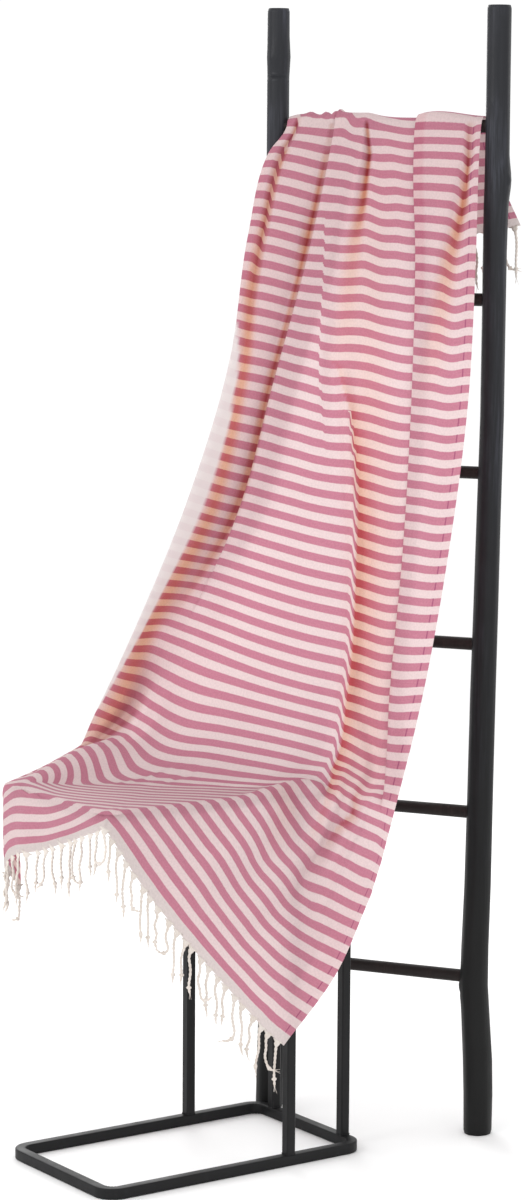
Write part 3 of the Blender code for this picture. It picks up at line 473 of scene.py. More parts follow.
# Bands with one sharp edge that lie along a fold, on its right: row -> width in millimetres.
# painted backlight: a paler rim along the left fold, where light from behind blows out the cloth
PAINTED_BACKLIT_RIM = {("high", 0.7): 0, "upper": 16, ("upper", 0.5): 27, "middle": 28, "low": 13, "knee": 0}
# painted see-through beside the tuck: the turned-in layer tints the cloth as light through the top
# layer would
PAINTED_SEE_THROUGH_BAND = {"over_1": 20, "neck": 20, "high": 19, ("high", 0.30): 16, ("high", 0.45): 0}
BAND_EDGE = 2.0                 # how softly a band or a painted shade beside a fold begins
PAINTED_FOLD_SHADE_FADE = 1.5
# painted transmitted light over the turned-back margin, past the left fold
MARGIN_TRANSMITTED_LIGHT = 0.3
# how fully the painted backlit rim hides the cloth's own colour
PAINTED_BACKLIT_RIM_COVER = 0.9
FOLD_REACH = 0.02               # how far past its line, in places, a fold's own bend goes

# ---------------------------------------------------------------- fringe sizes
FRONT_TASSELS = 38
REAR_TASSELS = 38
TASSEL_RADIUS = 0.0022
ROOT_LENGTH = 0.0068            # how soon the threads gather into a cord
TASSEL_SIDES = 9
TASSEL_STEP = 0.0013
TASSEL_TWIST = 0.0075           # length of one full turn of the two plies
PLIES = 2
PLY_DEPTH = 0.22
FRONT_LENGTHS = (0.066, 0.094)
REAR_LENGTHS = (0.074, 0.104)
CURL_START = 0.62               # from this share of a tassel down, some of them curl up
SWAY = 0.09                     # how far a tassel leans
FIRST_SEED = 100
CURL_TURN = 1.15                # how far round the longest curls go, in half turns
PULL_DOWN = (0.10, 0.16)        # how soon a tassel hangs, above and below the curl's start
WAVE_WIDTHS = (0.0006, 0.0022)
WAVE_TURNS = (1.2, 2.6)
ROOT_INSET = 0.0015
ROOT_ASTRAY = 0.18              # of the spacing, how far a root is off its even place
ROOT_SHARE = 0.85               # of the spacing, how much hem a tassel gathers
ROOT_POWER = 1.6
ROOT_THINNING = 0.72
# shares of a tassel's radius, and below them shares of its length
TAPER = 0.12
KNOT_SWELL = 0.95
TIP_TAPER = 0.45
KNOT_PLACES = (0.80, 0.88)
KNOT_LENGTH = 0.030
TIP_START = 0.93
TIP_LENGTH = 0.07
END_STRANDS = 3
STRAND_RADIUS = 0.00045
STRAND_SPREAD = 0.4
STRAND_LENGTHS = (0.006, 0.013)

# ---------------------------------------------------------------- colours, as sRGB
PINK = (0.755, 0.462, 0.548)
CREAM = (0.893, 0.806, 0.806)
END_BAND = (0.850, 0.800, 0.790)
END_BAND_STRIPES = 0.60         # width of the plain end bands, in stripe numbers
MARK = (0.600, 0.270, 0.430)
WARP_SPACING = 0.0012
WEFT_SPACING = 0.0010
SHEERNESS = 0.30                # share of the light that goes through one layer
# painted light and shade, as tints of the cream and of the pink: light through many layers,
# shade in a deep crease, shade beside a fold that lies close over the cloth, and the turned-in
# cloth as light through the top layer shows it
TINTS = {
    "painted_transmitted_light": ((0.975, 0.845, 0.715), (0.960, 0.770, 0.680)),
    "shade": ((0.860, 0.680, 0.580), (0.720, 0.400, 0.400)),
    "painted_fold_shade": ((0.975, 0.870, 0.785), (0.930, 0.610, 0.570)),
    "painted_see_through": ((0.990, 0.950, 0.955), (0.970, 0.880, 0.915)),
}
# painted backlight: the blown-out colour of the rim along the left fold
PAINTED_BACKLIT_RIM_COLOUR = (0.915, 0.900, 0.895)
COTTON = (0.870, 0.840, 0.815)
COTTON_SHADE = (0.80, 0.75, 0.70)
# the log darkens to painted shade towards the floor; its bluish lighter grain is partly a painted
# highlight
WOOD_FOOT_SHADE = (0.050, 0.051, 0.052)
WOOD_BLACK = (0.140, 0.144, 0.160)
WOOD_GRAIN_AND_HIGHLIGHT = (0.275, 0.280, 0.315)
STICK_DARK = (0.120, 0.098, 0.095)
STICK_LIGHT = (0.175, 0.142, 0.135)
STEEL_BLACK = (0.085, 0.085, 0.090)
STEEL_DUSTY = (0.150, 0.150, 0.158)
PAINT_SPECULAR = 0.22
FLOOR_PALE = (0.997, 0.997, 0.997)
FLOOR_CLOUD = (0.982, 0.982, 0.982)


# ================================================================ helpers

def linear(colour):
    values = []
    for c in colour:
        values.append(c / 12.92 if c <= 0.04045 else ((c + 0.055) / 1.055) ** 2.4)
    return (*values, 1.0)


def unit(v):
    return v / np.maximum(np.linalg.norm(v, axis=-1, keepdims=True), 1e-12)


def link(name, data):
    obj = bpy.data.objects.new(name, data)
    bpy.context.scene.collection.objects.link(obj)
    return obj


def circle(count):
    """Evenly spaced angles, once round."""
    return [2 * math.pi * i / count for i in range(count)]


def add_mesh(name, verts, faces, mat, smooth=True):
    mesh = bpy.data.meshes.new(name)
    mesh.from_pydata([tuple(map(float, v)) for v in verts], [], faces)
    bm = bmesh.new()
    bm.from_mesh(mesh)
    bmesh.ops.recalc_face_normals(bm, faces=bm.faces)
    bm.to_mesh(mesh)
    bm.free()
    mesh.materials.append(mat)
    for poly in mesh.polygons:
        poly.use_smooth = smooth
    return link(name, mesh)


def stand_for(obj, node):
    """The piece is shown in place of a CAD node."""
    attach(obj, BODY)
    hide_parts(node)


def flat_ends(obj):
    """Keeps the end faces of a lofted log or stick flat."""
    for poly in obj.data.polygons:
        poly.use_smooth = len(poly.vertices) == 4


def running_length(points):
    """Length along a run of points, up to each of them."""
    return np.r_[0, np.cumsum(np.linalg.norm(np.diff(points, axis=0), axis=1))]


def point_at(distance, runs, points):
    return np.array([np.interp(distance, runs, points[:, c]) for c in range(points.shape[1])])


def loft(rings, closed=False):
    """Faces that join equal rings of points; open lofts get a flat face at each end."""
    count = len(rings[0])
    verts = [p for ring in rings for p in ring]
    faces = []
    steps = len(rings) if closed else len(rings) - 1
    for i in range(steps):
        a = i * count
        b = ((i + 1) % len(rings)) * count
        for j in range(count):
            k = (j + 1) % count
            faces.append((a + j, a + k, b + k, b + j))
    if not closed:
        faces.append(tuple(range(count)))
        faces.append(tuple(range(len(verts) - count, len(verts))))
    return verts, faces


class Nodes:
    """Short calls for building a material's nodes."""

    def __init__(self, name):
        self.mat = bpy.data.materials.new(name)
        self.mat.use_nodes = True
        self.tree = self.mat.node_tree
        self.tree.nodes.clear()
        self.out = self.tree.nodes.new("ShaderNodeOutputMaterial")

    def add(self, kind, settings=None, **inputs):
        node = self.tree.nodes.new("ShaderNode" + kind)
        for key, value in (settings or {}).items():
            setattr(node, key, value)
        for key, value in inputs.items():
            socket = node.inputs[int(key[1:])] if key[0] == "i" and key[1:].isdigit() \
                else node.inputs[key.replace("_", " ")]
            if isinstance(value, bpy.types.NodeSocket):
                self.tree.links.new(value, socket)
            else:
                socket.default_value = value
        return node

    def math(self, operation, *values):
        inputs = {"i%d" % i: v for i, v in enumerate(values)}
        return self.add("Math", {"operation": operation}, **inputs).outputs[0]

    def times(self, a, b):
        return self.math("MULTIPLY", a, b)

    def plus(self, a, b):
        return self.math("ADD", a, b)

    def minus(self, a, b):
        return self.math("SUBTRACT", a, b)

    def coords(self):
        return self.add("TexCoord").outputs["Object"]

    def attribute(self, name):
        return self.add("Attribute", {"attribute_name": name}).outputs["Fac"]

    def ramp(self, value, low, high, start=0.0, end=1.0):
        node = self.add("MapRange", {"interpolation_type": "SMOOTHSTEP"}, i0=value, i1=low,
                        i2=high, i3=start, i4=end)
        return node.outputs[0]

    def mix(self, factor, a, b, blend="MIX"):
        node = self.add("Mix", {"data_type": "RGBA", "blend_type": blend}, i0=factor, i6=a, i7=b)
        return node.outputs[2]

    def noise(self, vector, scale, detail=3.0, roughness=0.5):
        node = self.add("TexNoise", None, Vector=vector, Scale=scale, Detail=detail,
                        Roughness=roughness)
        return node.outputs["Fac"]

    def stretched(self, vector, scales):
        return self.add("Mapping", None, Vector=vector, Scale=scales).outputs["Vector"]

    def bump(self, height, strength, distance):
        node = self.add("Bump", None, Strength=strength, Distance=distance, Height=height)
        return node.outputs["Normal"]

    def principled(self, colour, roughness, normal=None, **uniform):
        node = self.add("BsdfPrincipled", None, Base_Color=colour, Roughness=roughness)
        if normal is not None:
            self.tree.links.new(normal, node.inputs["Normal"])
        for name, value in uniform.items():
            node.inputs[name.replace("_", " ")].default_value = value
        return node.outputs[0]

    def show(self, shader):
        self.tree.links.new(shader, self.out.inputs["Surface"])
        return self.mat


# ================================================================ materials

def cloth_material():
    n = Nodes("striped_hammam_cotton")
    stripe, across, selvedge = (n.attribute(name) for name in ("stripe", "across", "selvedge"))
    along = n.times(stripe, STRIPE_PERIOD)
    place = n.add("CombineXYZ", None, X=across, Y=along, Z=0.0).outputs[0]

    # the stripes, with edges a little ragged where weft threads change colour
    ragged = n.noise(n.stretched(place, (160.0, 900.0, 1.0)), 1.0, 2.0)
    waver = n.times(n.minus(ragged, 0.5), 0.05)
    phase = n.math("FRACT", n.plus(stripe, waver))
    off = n.math("ABSOLUTE", n.minus(phase, 0.5))
    pink = n.ramp(off, 0.225, 0.275, 0.0, 1.0)
    front_end = n.math("LESS_THAN", stripe, LAST_STRIPE - END_BAND_STRIPES)
    rear_end = n.math("GREATER_THAN", stripe, FIRST_STRIPE + END_BAND_STRIPES)
    striped = n.times(front_end, rear_end)
    pink = n.times(pink, striped)

    # threads: cream warp shows through the pink weft, and yarns vary in thickness
    warp = n.math("SINE", n.times(across, 2 * math.pi / WARP_SPACING))
    weft = n.math("SINE", n.times(along, 2 * math.pi / WEFT_SPACING))
    cross = n.times(warp, weft)
    slub = n.noise(n.stretched(place, (35.0, 700.0, 1.0)), 1.0, 4.0, 0.6)
    mottle = n.noise(n.stretched(place, (260.0, 260.0, 1.0)), 1.0, 3.0, 0.6)
    speck = n.plus(n.times(cross, 0.06), n.times(slub, 0.22))
    cover = n.minus(1.04, speck)
    pink = n.times(pink, cover)
    plain = n.mix(striped, linear(END_BAND), linear(CREAM))
    colour = n.mix(pink, plain, linear(PINK))
    tone = n.ramp(mottle, 0.25, 0.75, 0.93, 1.05)
    grey = n.add("CombineXYZ", None, X=tone, Y=tone, Z=tone).outputs[0]
    colour = n.mix(1.0, colour, grey, "MULTIPLY")

    # a darker thread group a little in from each selvedge, seen on the pink stripes
    inside = n.times(n.math("GREATER_THAN", selvedge, MARK_INSET),
                     n.math("LESS_THAN", selvedge, MARK_INSET + MARK_WIDTH))
    mark = n.times(n.times(inside, pink), 0.75)
    colour = n.mix(mark, colour, linear(MARK))
    # painted light and shade: each attribute tints the cream and the pink
    for name, (on_cream, on_pink) in TINTS.items():
        tint = n.mix(pink, linear(on_cream), linear(on_pink))
        filtered = n.mix(n.attribute(name), (1.0, 1.0, 1.0, 1.0), tint)
        colour = n.mix(1.0, colour, filtered, "MULTIPLY")
    # painted backlight: the rim along the left fold is laid over in a pale colour
    colour = n.mix(n.attribute("pale"), colour, linear(PAINTED_BACKLIT_RIM_COLOUR))

    height = n.plus(n.times(cross, 0.35), slub)
    normal = n.bump(height, 0.35, 0.0006)
    body = n.principled(colour, 0.92, normal, Specular_IOR_Level=0.25, Sheen_Weight=0.12,
                        Sheen_Roughness=0.5)
    glow = n.add("BsdfTranslucent", None, Color=colour, Normal=normal)
    shader = n.add("MixShader", None, Fac=SHEERNESS, i1=body, i2=glow.outputs[0])
    return n.show(shader.outputs[0])


def cotton_material():
    n = Nodes("twisted_cotton")
    coords = n.coords()
    fibres = n.noise(n.stretched(coords, (900.0, 900.0, 260.0)), 1.0, 4.0, 0.6)
    patches = n.noise(coords, 60.0, 2.0)
    shade = n.times(fibres, n.ramp(patches, 0.3, 0.7, 0.75, 1.0))
    colour = n.mix(n.ramp(shade, 0.15, 0.6), linear(COTTON_SHADE), linear(COTTON))
    normal = n.bump(fibres, 0.5, 0.0005)
    return n.show(n.principled(colour, 0.95, normal, Specular_IOR_Level=0.2, Sheen_Weight=0.2))


def wood_material(name, dark, light, gloss, foot=None):
    """Stained wood with grain up its length; foot is the painted shade it darkens to at the floor.
    """
    n = Nodes(name)
    coords = n.coords()
    grain = n.noise(n.stretched(coords, (240.0, 240.0, 9.0)), 1.0, 6.0, 0.65)
    blotch = n.noise(n.stretched(coords, (22.0, 22.0, 7.0)), 1.0, 3.0)
    pores = n.noise(n.stretched(coords, (900.0, 900.0, 60.0)), 1.0, 2.0)
    mixed = n.times(n.ramp(grain, 0.35, 0.75), n.ramp(blotch, 0.35, 0.7))
    colour = n.mix(mixed, linear(dark), linear(light))
    # painted shade: darker towards the floor, so the head looks more lit
    if foot:
        height = n.add("SeparateXYZ", None, Vector=coords).outputs["Z"]
        colour = n.mix(n.ramp(height, 0.2, 1.9), linear(foot), colour)
    rough = n.ramp(blotch, 0.3, 0.7, gloss, gloss + 0.18)
    relief = n.plus(n.times(grain, 0.8), n.times(pores, 0.3))
    normal = n.bump(relief, 0.5, 0.0012)
    return n.show(n.principled(colour, rough, normal, Specular_IOR_Level=PAINT_SPECULAR))


def steel_material():
    n = Nodes("matt_powder_coat")
    coords = n.coords()
    peel = n.noise(coords, 900.0, 2.0)
    dust = n.noise(coords, 14.0, 4.0, 0.6)
    worn = n.noise(coords, 90.0, 3.0)
    shade = n.times(n.ramp(dust, 0.45, 0.75), n.ramp(worn, 0.4, 0.7))
    colour = n.mix(n.times(shade, 0.6), linear(STEEL_BLACK), linear(STEEL_DUSTY))
    rough = n.ramp(dust, 0.3, 0.7, 0.42, 0.56)
    normal = n.bump(peel, 0.25, 0.0004)
    return n.show(n.principled(colour, rough, normal, Specular_IOR_Level=PAINT_SPECULAR))


def floor_material():
    n = Nodes("pale_floor")
    coords = n.coords()
    cloud = n.noise(coords, 0.8, 2.0)
    colour = n.mix(cloud, linear(FLOOR_PALE), linear(FLOOR_CLOUD))
    return n.show(n.principled(colour, 0.9))


# ================================================================ ladder

def make_pole(name, sections, knots, base_x, mat):
    """A peeled log: uneven round section, shallow flutes and knots that stand out."""
    rings = []
    sections = np.array(sections) / 1000
    steps = int(sections[-1][0] / POLE_RING)
    heights = sorted(set(list(sections[:, 0]) + [i * POLE_RING for i in range(1, steps)]))
    for height in heights:
        radius, drift_x, drift_y = point_at(height, sections[:, 0], sections[:, 1:])
        ring = []
        for a in circle(POLE_SIDES):
            wobble = 1.0 + OVAL[0] * math.sin(2 * a + OVAL[1] * height)
            wobble += THREE_SIDED[0] * math.sin(3 * a + THREE_SIDED[1] * height)
            flute = FLUTES[1] * math.sin(FLUTES[0] * a + 2.2 * math.sin(3.0 * height))
            r = radius * wobble + flute
            for knot_height, degrees, size, stand in knots:
                turn = (a - math.radians(degrees) + math.pi) % (2 * math.pi) - math.pi
                up = (height - knot_height / 1000) * KNOT_STRETCH
                away = math.hypot(up, turn * radius) / (size / 1000)
                rim = KNOT_RIM[2] * math.exp(-((away - KNOT_RIM[0]) / KNOT_RIM[1]) ** 2)
                r += stand / 1000 * (math.exp(-away ** 2) - rim)
            ring.append((base_x + drift_x + r * math.cos(a), drift_y + r * math.sin(a), height))
        rings.append(ring)
    pole = add_mesh(name + "_log", *loft(rings), mat)
    flat_ends(pole)
    stand_for(pole, name)


def make_rung(node, mat):
    """A round stick, a little uneven along its length, that fills the CAD rung."""
    low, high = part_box(node)
    radius = (high[2] - low[2]) / 2
    y = (low[1] + high[1]) / 2
    z = (low[2] + high[2]) / 2
    number = int(node[-1])
    rings = []
    for i in range(RUNG_STEPS + 1):
        t = i / RUNG_STEPS
        ring = []
        for a in circle(RUNG_SIDES):
            uneven = RUNG_UNEVEN * math.sin(9 * t + number) * math.sin(2 * a + number)
            r = radius * (1 - RUNG_UNEVEN + uneven)
            ring.append((low[0] + (high[0] - low[0]) * t, y + r * math.cos(a), z + r * math.sin(a)))
        rings.append(ring)
    rung = add_mesh(node + "_stick", *loft(rings), mat)
    flat_ends(rung)
    stand_for(rung, node)


def make_ladder():
    pole = wood_material("black_stained_log", WOOD_BLACK, WOOD_GRAIN_AND_HIGHLIGHT, 0.36, WOOD_FOOT_SHADE)
    stick = wood_material("black_stained_stick", STICK_DARK, STICK_LIGHT, 0.48)
    make_pole("pole_left", LEFT_POLE, LEFT_KNOTS, -POLE_GAP, pole)
    make_pole("pole_right", RIGHT_POLE, RIGHT_KNOTS, 0.0, pole)
    for node in RUNGS:
        make_rung(node, stick)


# ================================================================ table

def table_point(along, across, height):
    up = np.array([0.0, 0.0, height])
    return MIDDLE + TABLE_CORNER + LONG_WAY * along + SHORT_WAY * across + up


def rounded_outline(inset):
    """Points round the table's outline, moved inwards by inset."""
    radius = CORNER_RADIUS - inset
    centres = ((TABLE_LENGTH - CORNER_RADIUS, CORNER_RADIUS, -90),
               (TABLE_LENGTH - CORNER_RADIUS, TABLE_WIDTH - CORNER_RADIUS, 0),
               (CORNER_RADIUS, TABLE_WIDTH - CORNER_RADIUS, 90),
               (CORNER_RADIUS, CORNER_RADIUS, 180))
    points = []
    for along, across, start in centres:
        for i in range(CORNER_STEPS + 1):
            a = math.radians(start + 90.0 * i / CORNER_STEPS)
            points.append((along + radius * math.cos(a), across + radius * math.sin(a), i))
    return points


def tube_section():
    """Outline of the square tube with rounded edges, from its outer lower corner."""
    points = []
    r = TUBE_ROUND
    corners = ((r, r, 270), (r, TUBE - r, 180), (TUBE - r, TUBE - r, 90), (TUBE - r, r, 0))
    for u, v, start in corners:
        for i in range(4):
            a = math.radians(start - 30.0 * i)
            points.append((u + r * math.cos(a), v + r * math.sin(a)))
    return points


def make_loop(node, low, mat):
    """A square tube bent round four corners; the bends are slightly creased inside."""
    section = tube_section()
    outlines = [rounded_outline(inset) for inset, _ in section]
    rings = []
    for i in range(len(outlines[0])):
        ring = []
        for j, (inset, up) in enumerate(section):
            along, across, step = outlines[j][i]
            crease = TUBE_CREASE * math.sin(math.pi * step / CORNER_STEPS)
            crease *= 1 + math.cos(step * 1.9)
            lift = crease * (inset / TUBE) * (1 if up > TUBE / 2 else -1)
            ring.append(table_point(along, across, low + up - lift))
        rings.append(ring)
    loop = add_mesh(node + "_tube", *loft(rings, closed=True), mat)
    mark_sharp(loop)
    stand_for(loop, node)


def mark_sharp(obj):
    """Keeps the long edges crisp under smooth shading."""
    mesh = obj.data
    bm = bmesh.new()
    bm.from_mesh(mesh)
    for edge in bm.edges:
        if len(edge.link_faces) == 2 and edge.calc_face_angle() > SHARP_EDGE:
            edge.smooth = False
    bm.to_mesh(mesh)
    bm.free()


def make_table():
    steel = steel_material()
    make_loop("base_loop", 0.0, steel)
    make_loop("top_loop", TABLE_HEIGHT - TUBE, steel)
    for node in UPRIGHTS + ("top_panel",):
        obj = frame["nodes"][node]
        for slot in obj.material_slots:
            slot.material = steel
    weld = weld_material()
    for node in UPRIGHTS:
        for end in (0, 1):
            make_weld(node, end, weld)


def weld_material():
    n = Nodes("painted_weld")
    coords = n.coords()
    beads = n.noise(coords, 260.0, 3.0)
    colour = n.mix(beads, linear(STEEL_BLACK), linear(STEEL_DUSTY))
    normal = n.bump(beads, 0.7, 0.0010)
    return n.show(n.principled(colour, 0.5, normal, Specular_IOR_Level=PAINT_SPECULAR))


def make_weld(node, end, mat):
    """A low bead of weld round the foot or head of an upright."""
    obj = frame["nodes"][node]
    points = np.array([v.co[:] for v in obj.data.vertices])
    centre = (points.min(0) + points.max(0)) / 2
    z = points[:, 2].max() if end else points[:, 2].min()
    level = points[abs(points[:, 2] - z) < 1e-4][:, :2]
    angles = np.arctan2(level[:, 1] - centre[1], level[:, 0] - centre[0])
    outline = level[np.unique(angles.round(4), return_index=True)[1]]
    rings = []
    closed = np.vstack([outline, outline[:1]])
    runs = running_length(closed)
    side = -1 if end else 1
    for i in range(WELD_STEPS):
        distance = runs[-1] * i / WELD_STEPS
        x, y = point_at(distance, runs, closed)
        out = unit(np.array([x - centre[0], y - centre[1]]))
        swell = WELD_SWELL + WELD_BEAD[0] * math.sin(distance * 2 * math.pi / WELD_BEAD[1])
        ring = []
        for a in circle(WELD_SIDES):
            push = swell * math.cos(a)
            up = side * swell * (0.55 + math.sin(a) * 0.9)
            ring.append((x + out[0] * push, y + out[1] * push, z + up))
        rings.append(ring)
    name = "weld_%s_%s" % (node, "head" if end else "foot")
    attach(add_mesh(name, *loft(rings, closed=True), mat), BODY)


# ================================================================ towel

def rung_point(x, lift, angle):
    radius = RUNG_RADIUS + RUNG_CLEAR + lift * MM
    a = math.radians(angle)
    return np.array([x * MM, radius * math.cos(a), RUNG_HEIGHT + radius * math.sin(a)])


def rear_point(x, lift, name):
    """Where a line hangs behind the ladder, clear of the backs of the poles."""
    back, height, share = REAR[name]
    right, left = OVER_RUNG["right_edge"][2], OVER_RUNG["left_fold"][2]
    drop = REAR_DROP * share * (right - x) / (right - left)
    return np.array([x * MM, back + lift * MM, height - drop])


def turned_at(station, column):
    key = station
    if station not in TURNED:
        key = "spread" if station in FRONT_STATIONS else "rung"
    return TURNED[key][TURNED_COLUMNS.index(column)]


def outline_edge(x, y):
    """The nearest point of the table's outline to x, y, the way out from it and the distance."""
    from_corner = np.array([x, y, 0.0]) - TABLE_CORNER
    middle = np.array([TABLE_LENGTH / 2, TABLE_WIDTH / 2])
    place = np.array([from_corner @ LONG_WAY, from_corner @ SHORT_WAY]) - middle
    core = middle - CORNER_RADIUS
    clamped = np.clip(place, -core, core)
    way = place - clamped
    if np.linalg.norm(way) < 1e-9:
        axis = int(np.argmin(core - np.abs(place)))
        way = np.zeros(2)
        way[axis] = 1.0 if place[axis] >= 0 else -1.0
        clamped[axis] = core[axis] * way[axis]
    out = way / np.linalg.norm(way)
    edge = clamped + out * CORNER_RADIUS
    distance = float((place - edge) @ out)
    edge = edge + middle
    point = TABLE_CORNER + LONG_WAY * edge[0] + SHORT_WAY * edge[1]
    return point, LONG_WAY * out[0] + SHORT_WAY * out[1], distance


def over_the_edge(x, y, outwards, up):
    """Where cloth that crosses the table's edge near x, y lies, as it bends over it."""
    point, out, _ = outline_edge(x, y)
    ease = CORNER_EASE * 2 * abs(out @ LONG_WAY) * abs(out @ SHORT_WAY)
    return point + out * (outwards * MM + ease) + np.array([0.0, 0.0, TABLE_HEIGHT + up * MM])


def visible_point(line, station):
    """Where a line is at a station, or None if it is worked out from its neighbours."""
    if station in FRONT_STATIONS:
        entry = LINES[line][FRONT_STATIONS.index(station)]
        if entry is not None:
            return np.array(entry, float) * MM
        if line not in CROSSINGS or station not in OVER_THE_EDGE:
            return None
        x, y = CROSSINGS[line]
        return over_the_edge(x * MM, y * MM, *OVER_THE_EDGE[station])
    if line not in OVER_RUNG:
        return None
    x_rung, x_mid, x_hem, lift, _ = OVER_RUNG[line]
    if station in ("rear_hem", "rear_mid"):
        return rear_point(x_hem if station == "rear_hem" else x_mid, lift, station)
    return rung_point(x_rung, lift, RUNG_ANGLES[station])


def stripe_at(line, station):
    """Stripe number of a line at a station."""
    if station == "hem":
        return LAST_STRIPE
    if station in FRONT_STATIONS:
        return STRIPES[line][FRONT_STATIONS.index(station)]
    source = {"corner_way": "crease", "valley": "pleat", "band": "pleat"}.get(line, line)
    top = OVER_RUNG[source][4]
    if station in RUNG_ANGLES:
        turn = math.radians(RUNG_ANGLES[station] - RUNG_ANGLES["rung_top"])
        return top + turn * (RUNG_RADIUS + RUNG_CLEAR) / STRIPE_PERIOD
    behind = stripe_at(line, "rear_top")
    return FIRST_STRIPE if station == "rear_hem" else (FIRST_STRIPE + behind) / 2


def direction_down(line, station):
    """From a line's point one station before to its point one station after."""
    index = STATIONS.index(station)
    after = STATIONS[min(index + 1, len(STATIONS) - 1)]
    return visible_point(line, after) - visible_point(line, STATIONS[max(index - 1, 0)])


def frame_at(station):
    """Rightward and outward directions of the section at a station."""
    if station in RUNG_ANGLES:
        a = math.radians(RUNG_ANGLES[station])
        return np.array([1.0, 0, 0]), np.array([0, math.cos(a), math.sin(a)])
    right = unit(visible_point("tuck", station) - visible_point("left_fold", station))
    along = sum(direction_down(line, station) for line in ("tuck", "ridge", "pleat"))
    return right, unit(np.cross(unit(along), right))


def left_fold_frame(band, station):
    """The same directions at the fold of the left margin."""
    right, out = frame_at(station)
    if station not in FRONT_STATIONS:
        return right, out
    lane = unit(band - visible_point("left_fold", station))
    return lane, unit(np.cross(unit(direction_down("left_fold", station)), lane))


def bend(start, end, out, side, gap, opened):
    """Points round a turned edge; an opened one lies flat towards the next line."""
    points = []
    for j in range(BEND_STEPS + 1):
        a = math.pi * j / BEND_STEPS
        if opened:
            points.append(start + unit(end - start) * BEND_OPEN * 2 * j / BEND_STEPS)
        else:
            away = side * math.sin(a) - out * (1 - math.cos(a))
            points.append(start + away * gap / 2)
    return points


def section_at(station):
    """Key points of one section, right to left: (place between the lines, x, y, z, stripe)."""
    right, out = frame_at(station)
    p = {line: visible_point(line, station) for line in LINES}
    k = {line: stripe_at(line, station) for line in STRIPES}
    if p["corner_way"] is None:
        p["corner_way"] = p["crease"] + (p["pleat"] - p["crease"]) * CORNER_SHARE
        p["valley"] = p["crease"] + (p["pleat"] - p["crease"]) * VALLEY_SHARE
    keys = []

    def put(place, points, stripe, across=None):
        """Adds points; across is the line ahead and its stripe number, where a bend has opened."""
        for q in points:
            number = stripe
            if across is not None:
                start, end, last = across
                share = np.linalg.norm(q - start) / max(np.linalg.norm(end - start), 1e-9)
                number = stripe + (last - stripe) * share
            keys.append((place, q[0], q[1], q[2], number))

    def turn_under(line, following, below, below_stripe):
        """Adds the two bends of a turned-in layer, or of its cloth where it has opened."""
        start = p[line]
        opened, width, gap = (turned_at(station, line + end) for end in ("_open", "", "_gap"))
        gap = gap * MM
        inner = start + right * (width * MM) - out * gap
        ahead = None
        middle_stripe = (k[line] + below_stripe) / 2
        if opened:
            inner = start + unit(p[following] - start) * BEND_OPEN * 3
            ahead = (start, p[following], k[following])
            middle_stripe = k[line]
        place = float(LINE_PLACE[line])
        put(place, bend(start, inner, out, -right, gap, opened), k[line], ahead)
        put(place, bend(inner, below, out, right, gap, opened), middle_stripe, ahead)

    put(0.0, [p["right_edge"]], k["right_edge"])
    below = p["tuck"] - out * 2 * (turned_at(station, "tuck_gap") * MM)
    below_stripe = k["tuck"] + turned_at(station, "tuck_shift")
    if turned_at(station, "tuck_open"):
        below = p["tuck"] + (p["ridge"] - p["tuck"]) * TUCK_OPEN_SHARE
        below_stripe = k["tuck"] + (k["ridge"] - k["tuck"]) * TUCK_OPEN_SHARE
    turn_under("tuck", "ridge", below, below_stripe)
    put(1.0, [below], below_stripe)
    for line in ("ridge", "crease", "corner_way", "valley"):
        put(float(LINE_PLACE[line]), [p[line]], k[line])

    band = p["band"]
    if not turned_at(station, "pleat_open"):
        band = p["pleat"] - right * BAND_SHIFT - out * 2 * (turned_at(station, "pleat_gap") * MM)
    turn_under("pleat", "band", band, k["band"])
    put(7.0, [band], k["band"])

    lane, fold_out = left_fold_frame(band, station)
    edge = p["left_edge"]
    if edge is None:
        edge = p["left_fold"] + lane * turned_at(station, "margin") * MM - fold_out * LAYER
        if station in FRONT_STATIONS:
            edge = edge - fold_out * LAYER
    hanging = station in FRONT_STATIONS and station not in TURNED
    put(8.0, bend(p["left_fold"], edge, fold_out, -lane, LAYER, hanging), k["left_fold"])
    put(9.0, [edge], k["left_fold"])
    return keys


def hermite(start, end, start_slope, end_slope, step, t):
    h00 = 2 * t ** 3 - 3 * t ** 2 + 1
    h10 = t ** 3 - 2 * t ** 2 + t
    h01 = 3 * t ** 2 - 2 * t ** 3
    h11 = t ** 3 - t ** 2
    return h00 * start + h10 * step * start_slope + h01 * end + h11 * step * end_slope


def slopes_through(nodes, steps):
    """Slope of each stretch and the smooth tangent at each node; the nodes run along axis 0."""
    slopes = np.diff(nodes, axis=0) / steps[..., None]
    tangents = np.empty_like(nodes)
    tangents[0] = slopes[0]
    tangents[-1] = slopes[-1]
    weight = (steps[:-1] / (steps[:-1] + steps[1:]))[..., None]
    tangents[1:-1] = slopes[:-1] * (1 - weight) + slopes[1:] * weight
    return slopes, tangents


def along_the_towel(sections, counts, sharp):
    """Every key point's run from hem to hem, in rows: array (row, key, x y z stripe)."""
    nodes = np.array(sections)[:, :, 1:]
    steps = np.maximum(np.linalg.norm(np.diff(nodes[..., :3], axis=0), axis=2), 1e-5)
    slopes, tangents = slopes_through(nodes, steps)
    rows = [nodes[0]]
    for i, count in enumerate(counts):
        start = slopes[i] if i in sharp else tangents[i]
        end = slopes[i] if i + 1 in sharp else tangents[i + 1]
        for j in range(1, count + 1):
            t = j / count
            row = hermite(nodes[i], nodes[i + 1], start, end, steps[i][:, None], t)
            row[:, 3] = nodes[i, :, 3] * (1 - t) + nodes[i + 1, :, 3] * t
            rows.append(row)
    return np.array(rows)


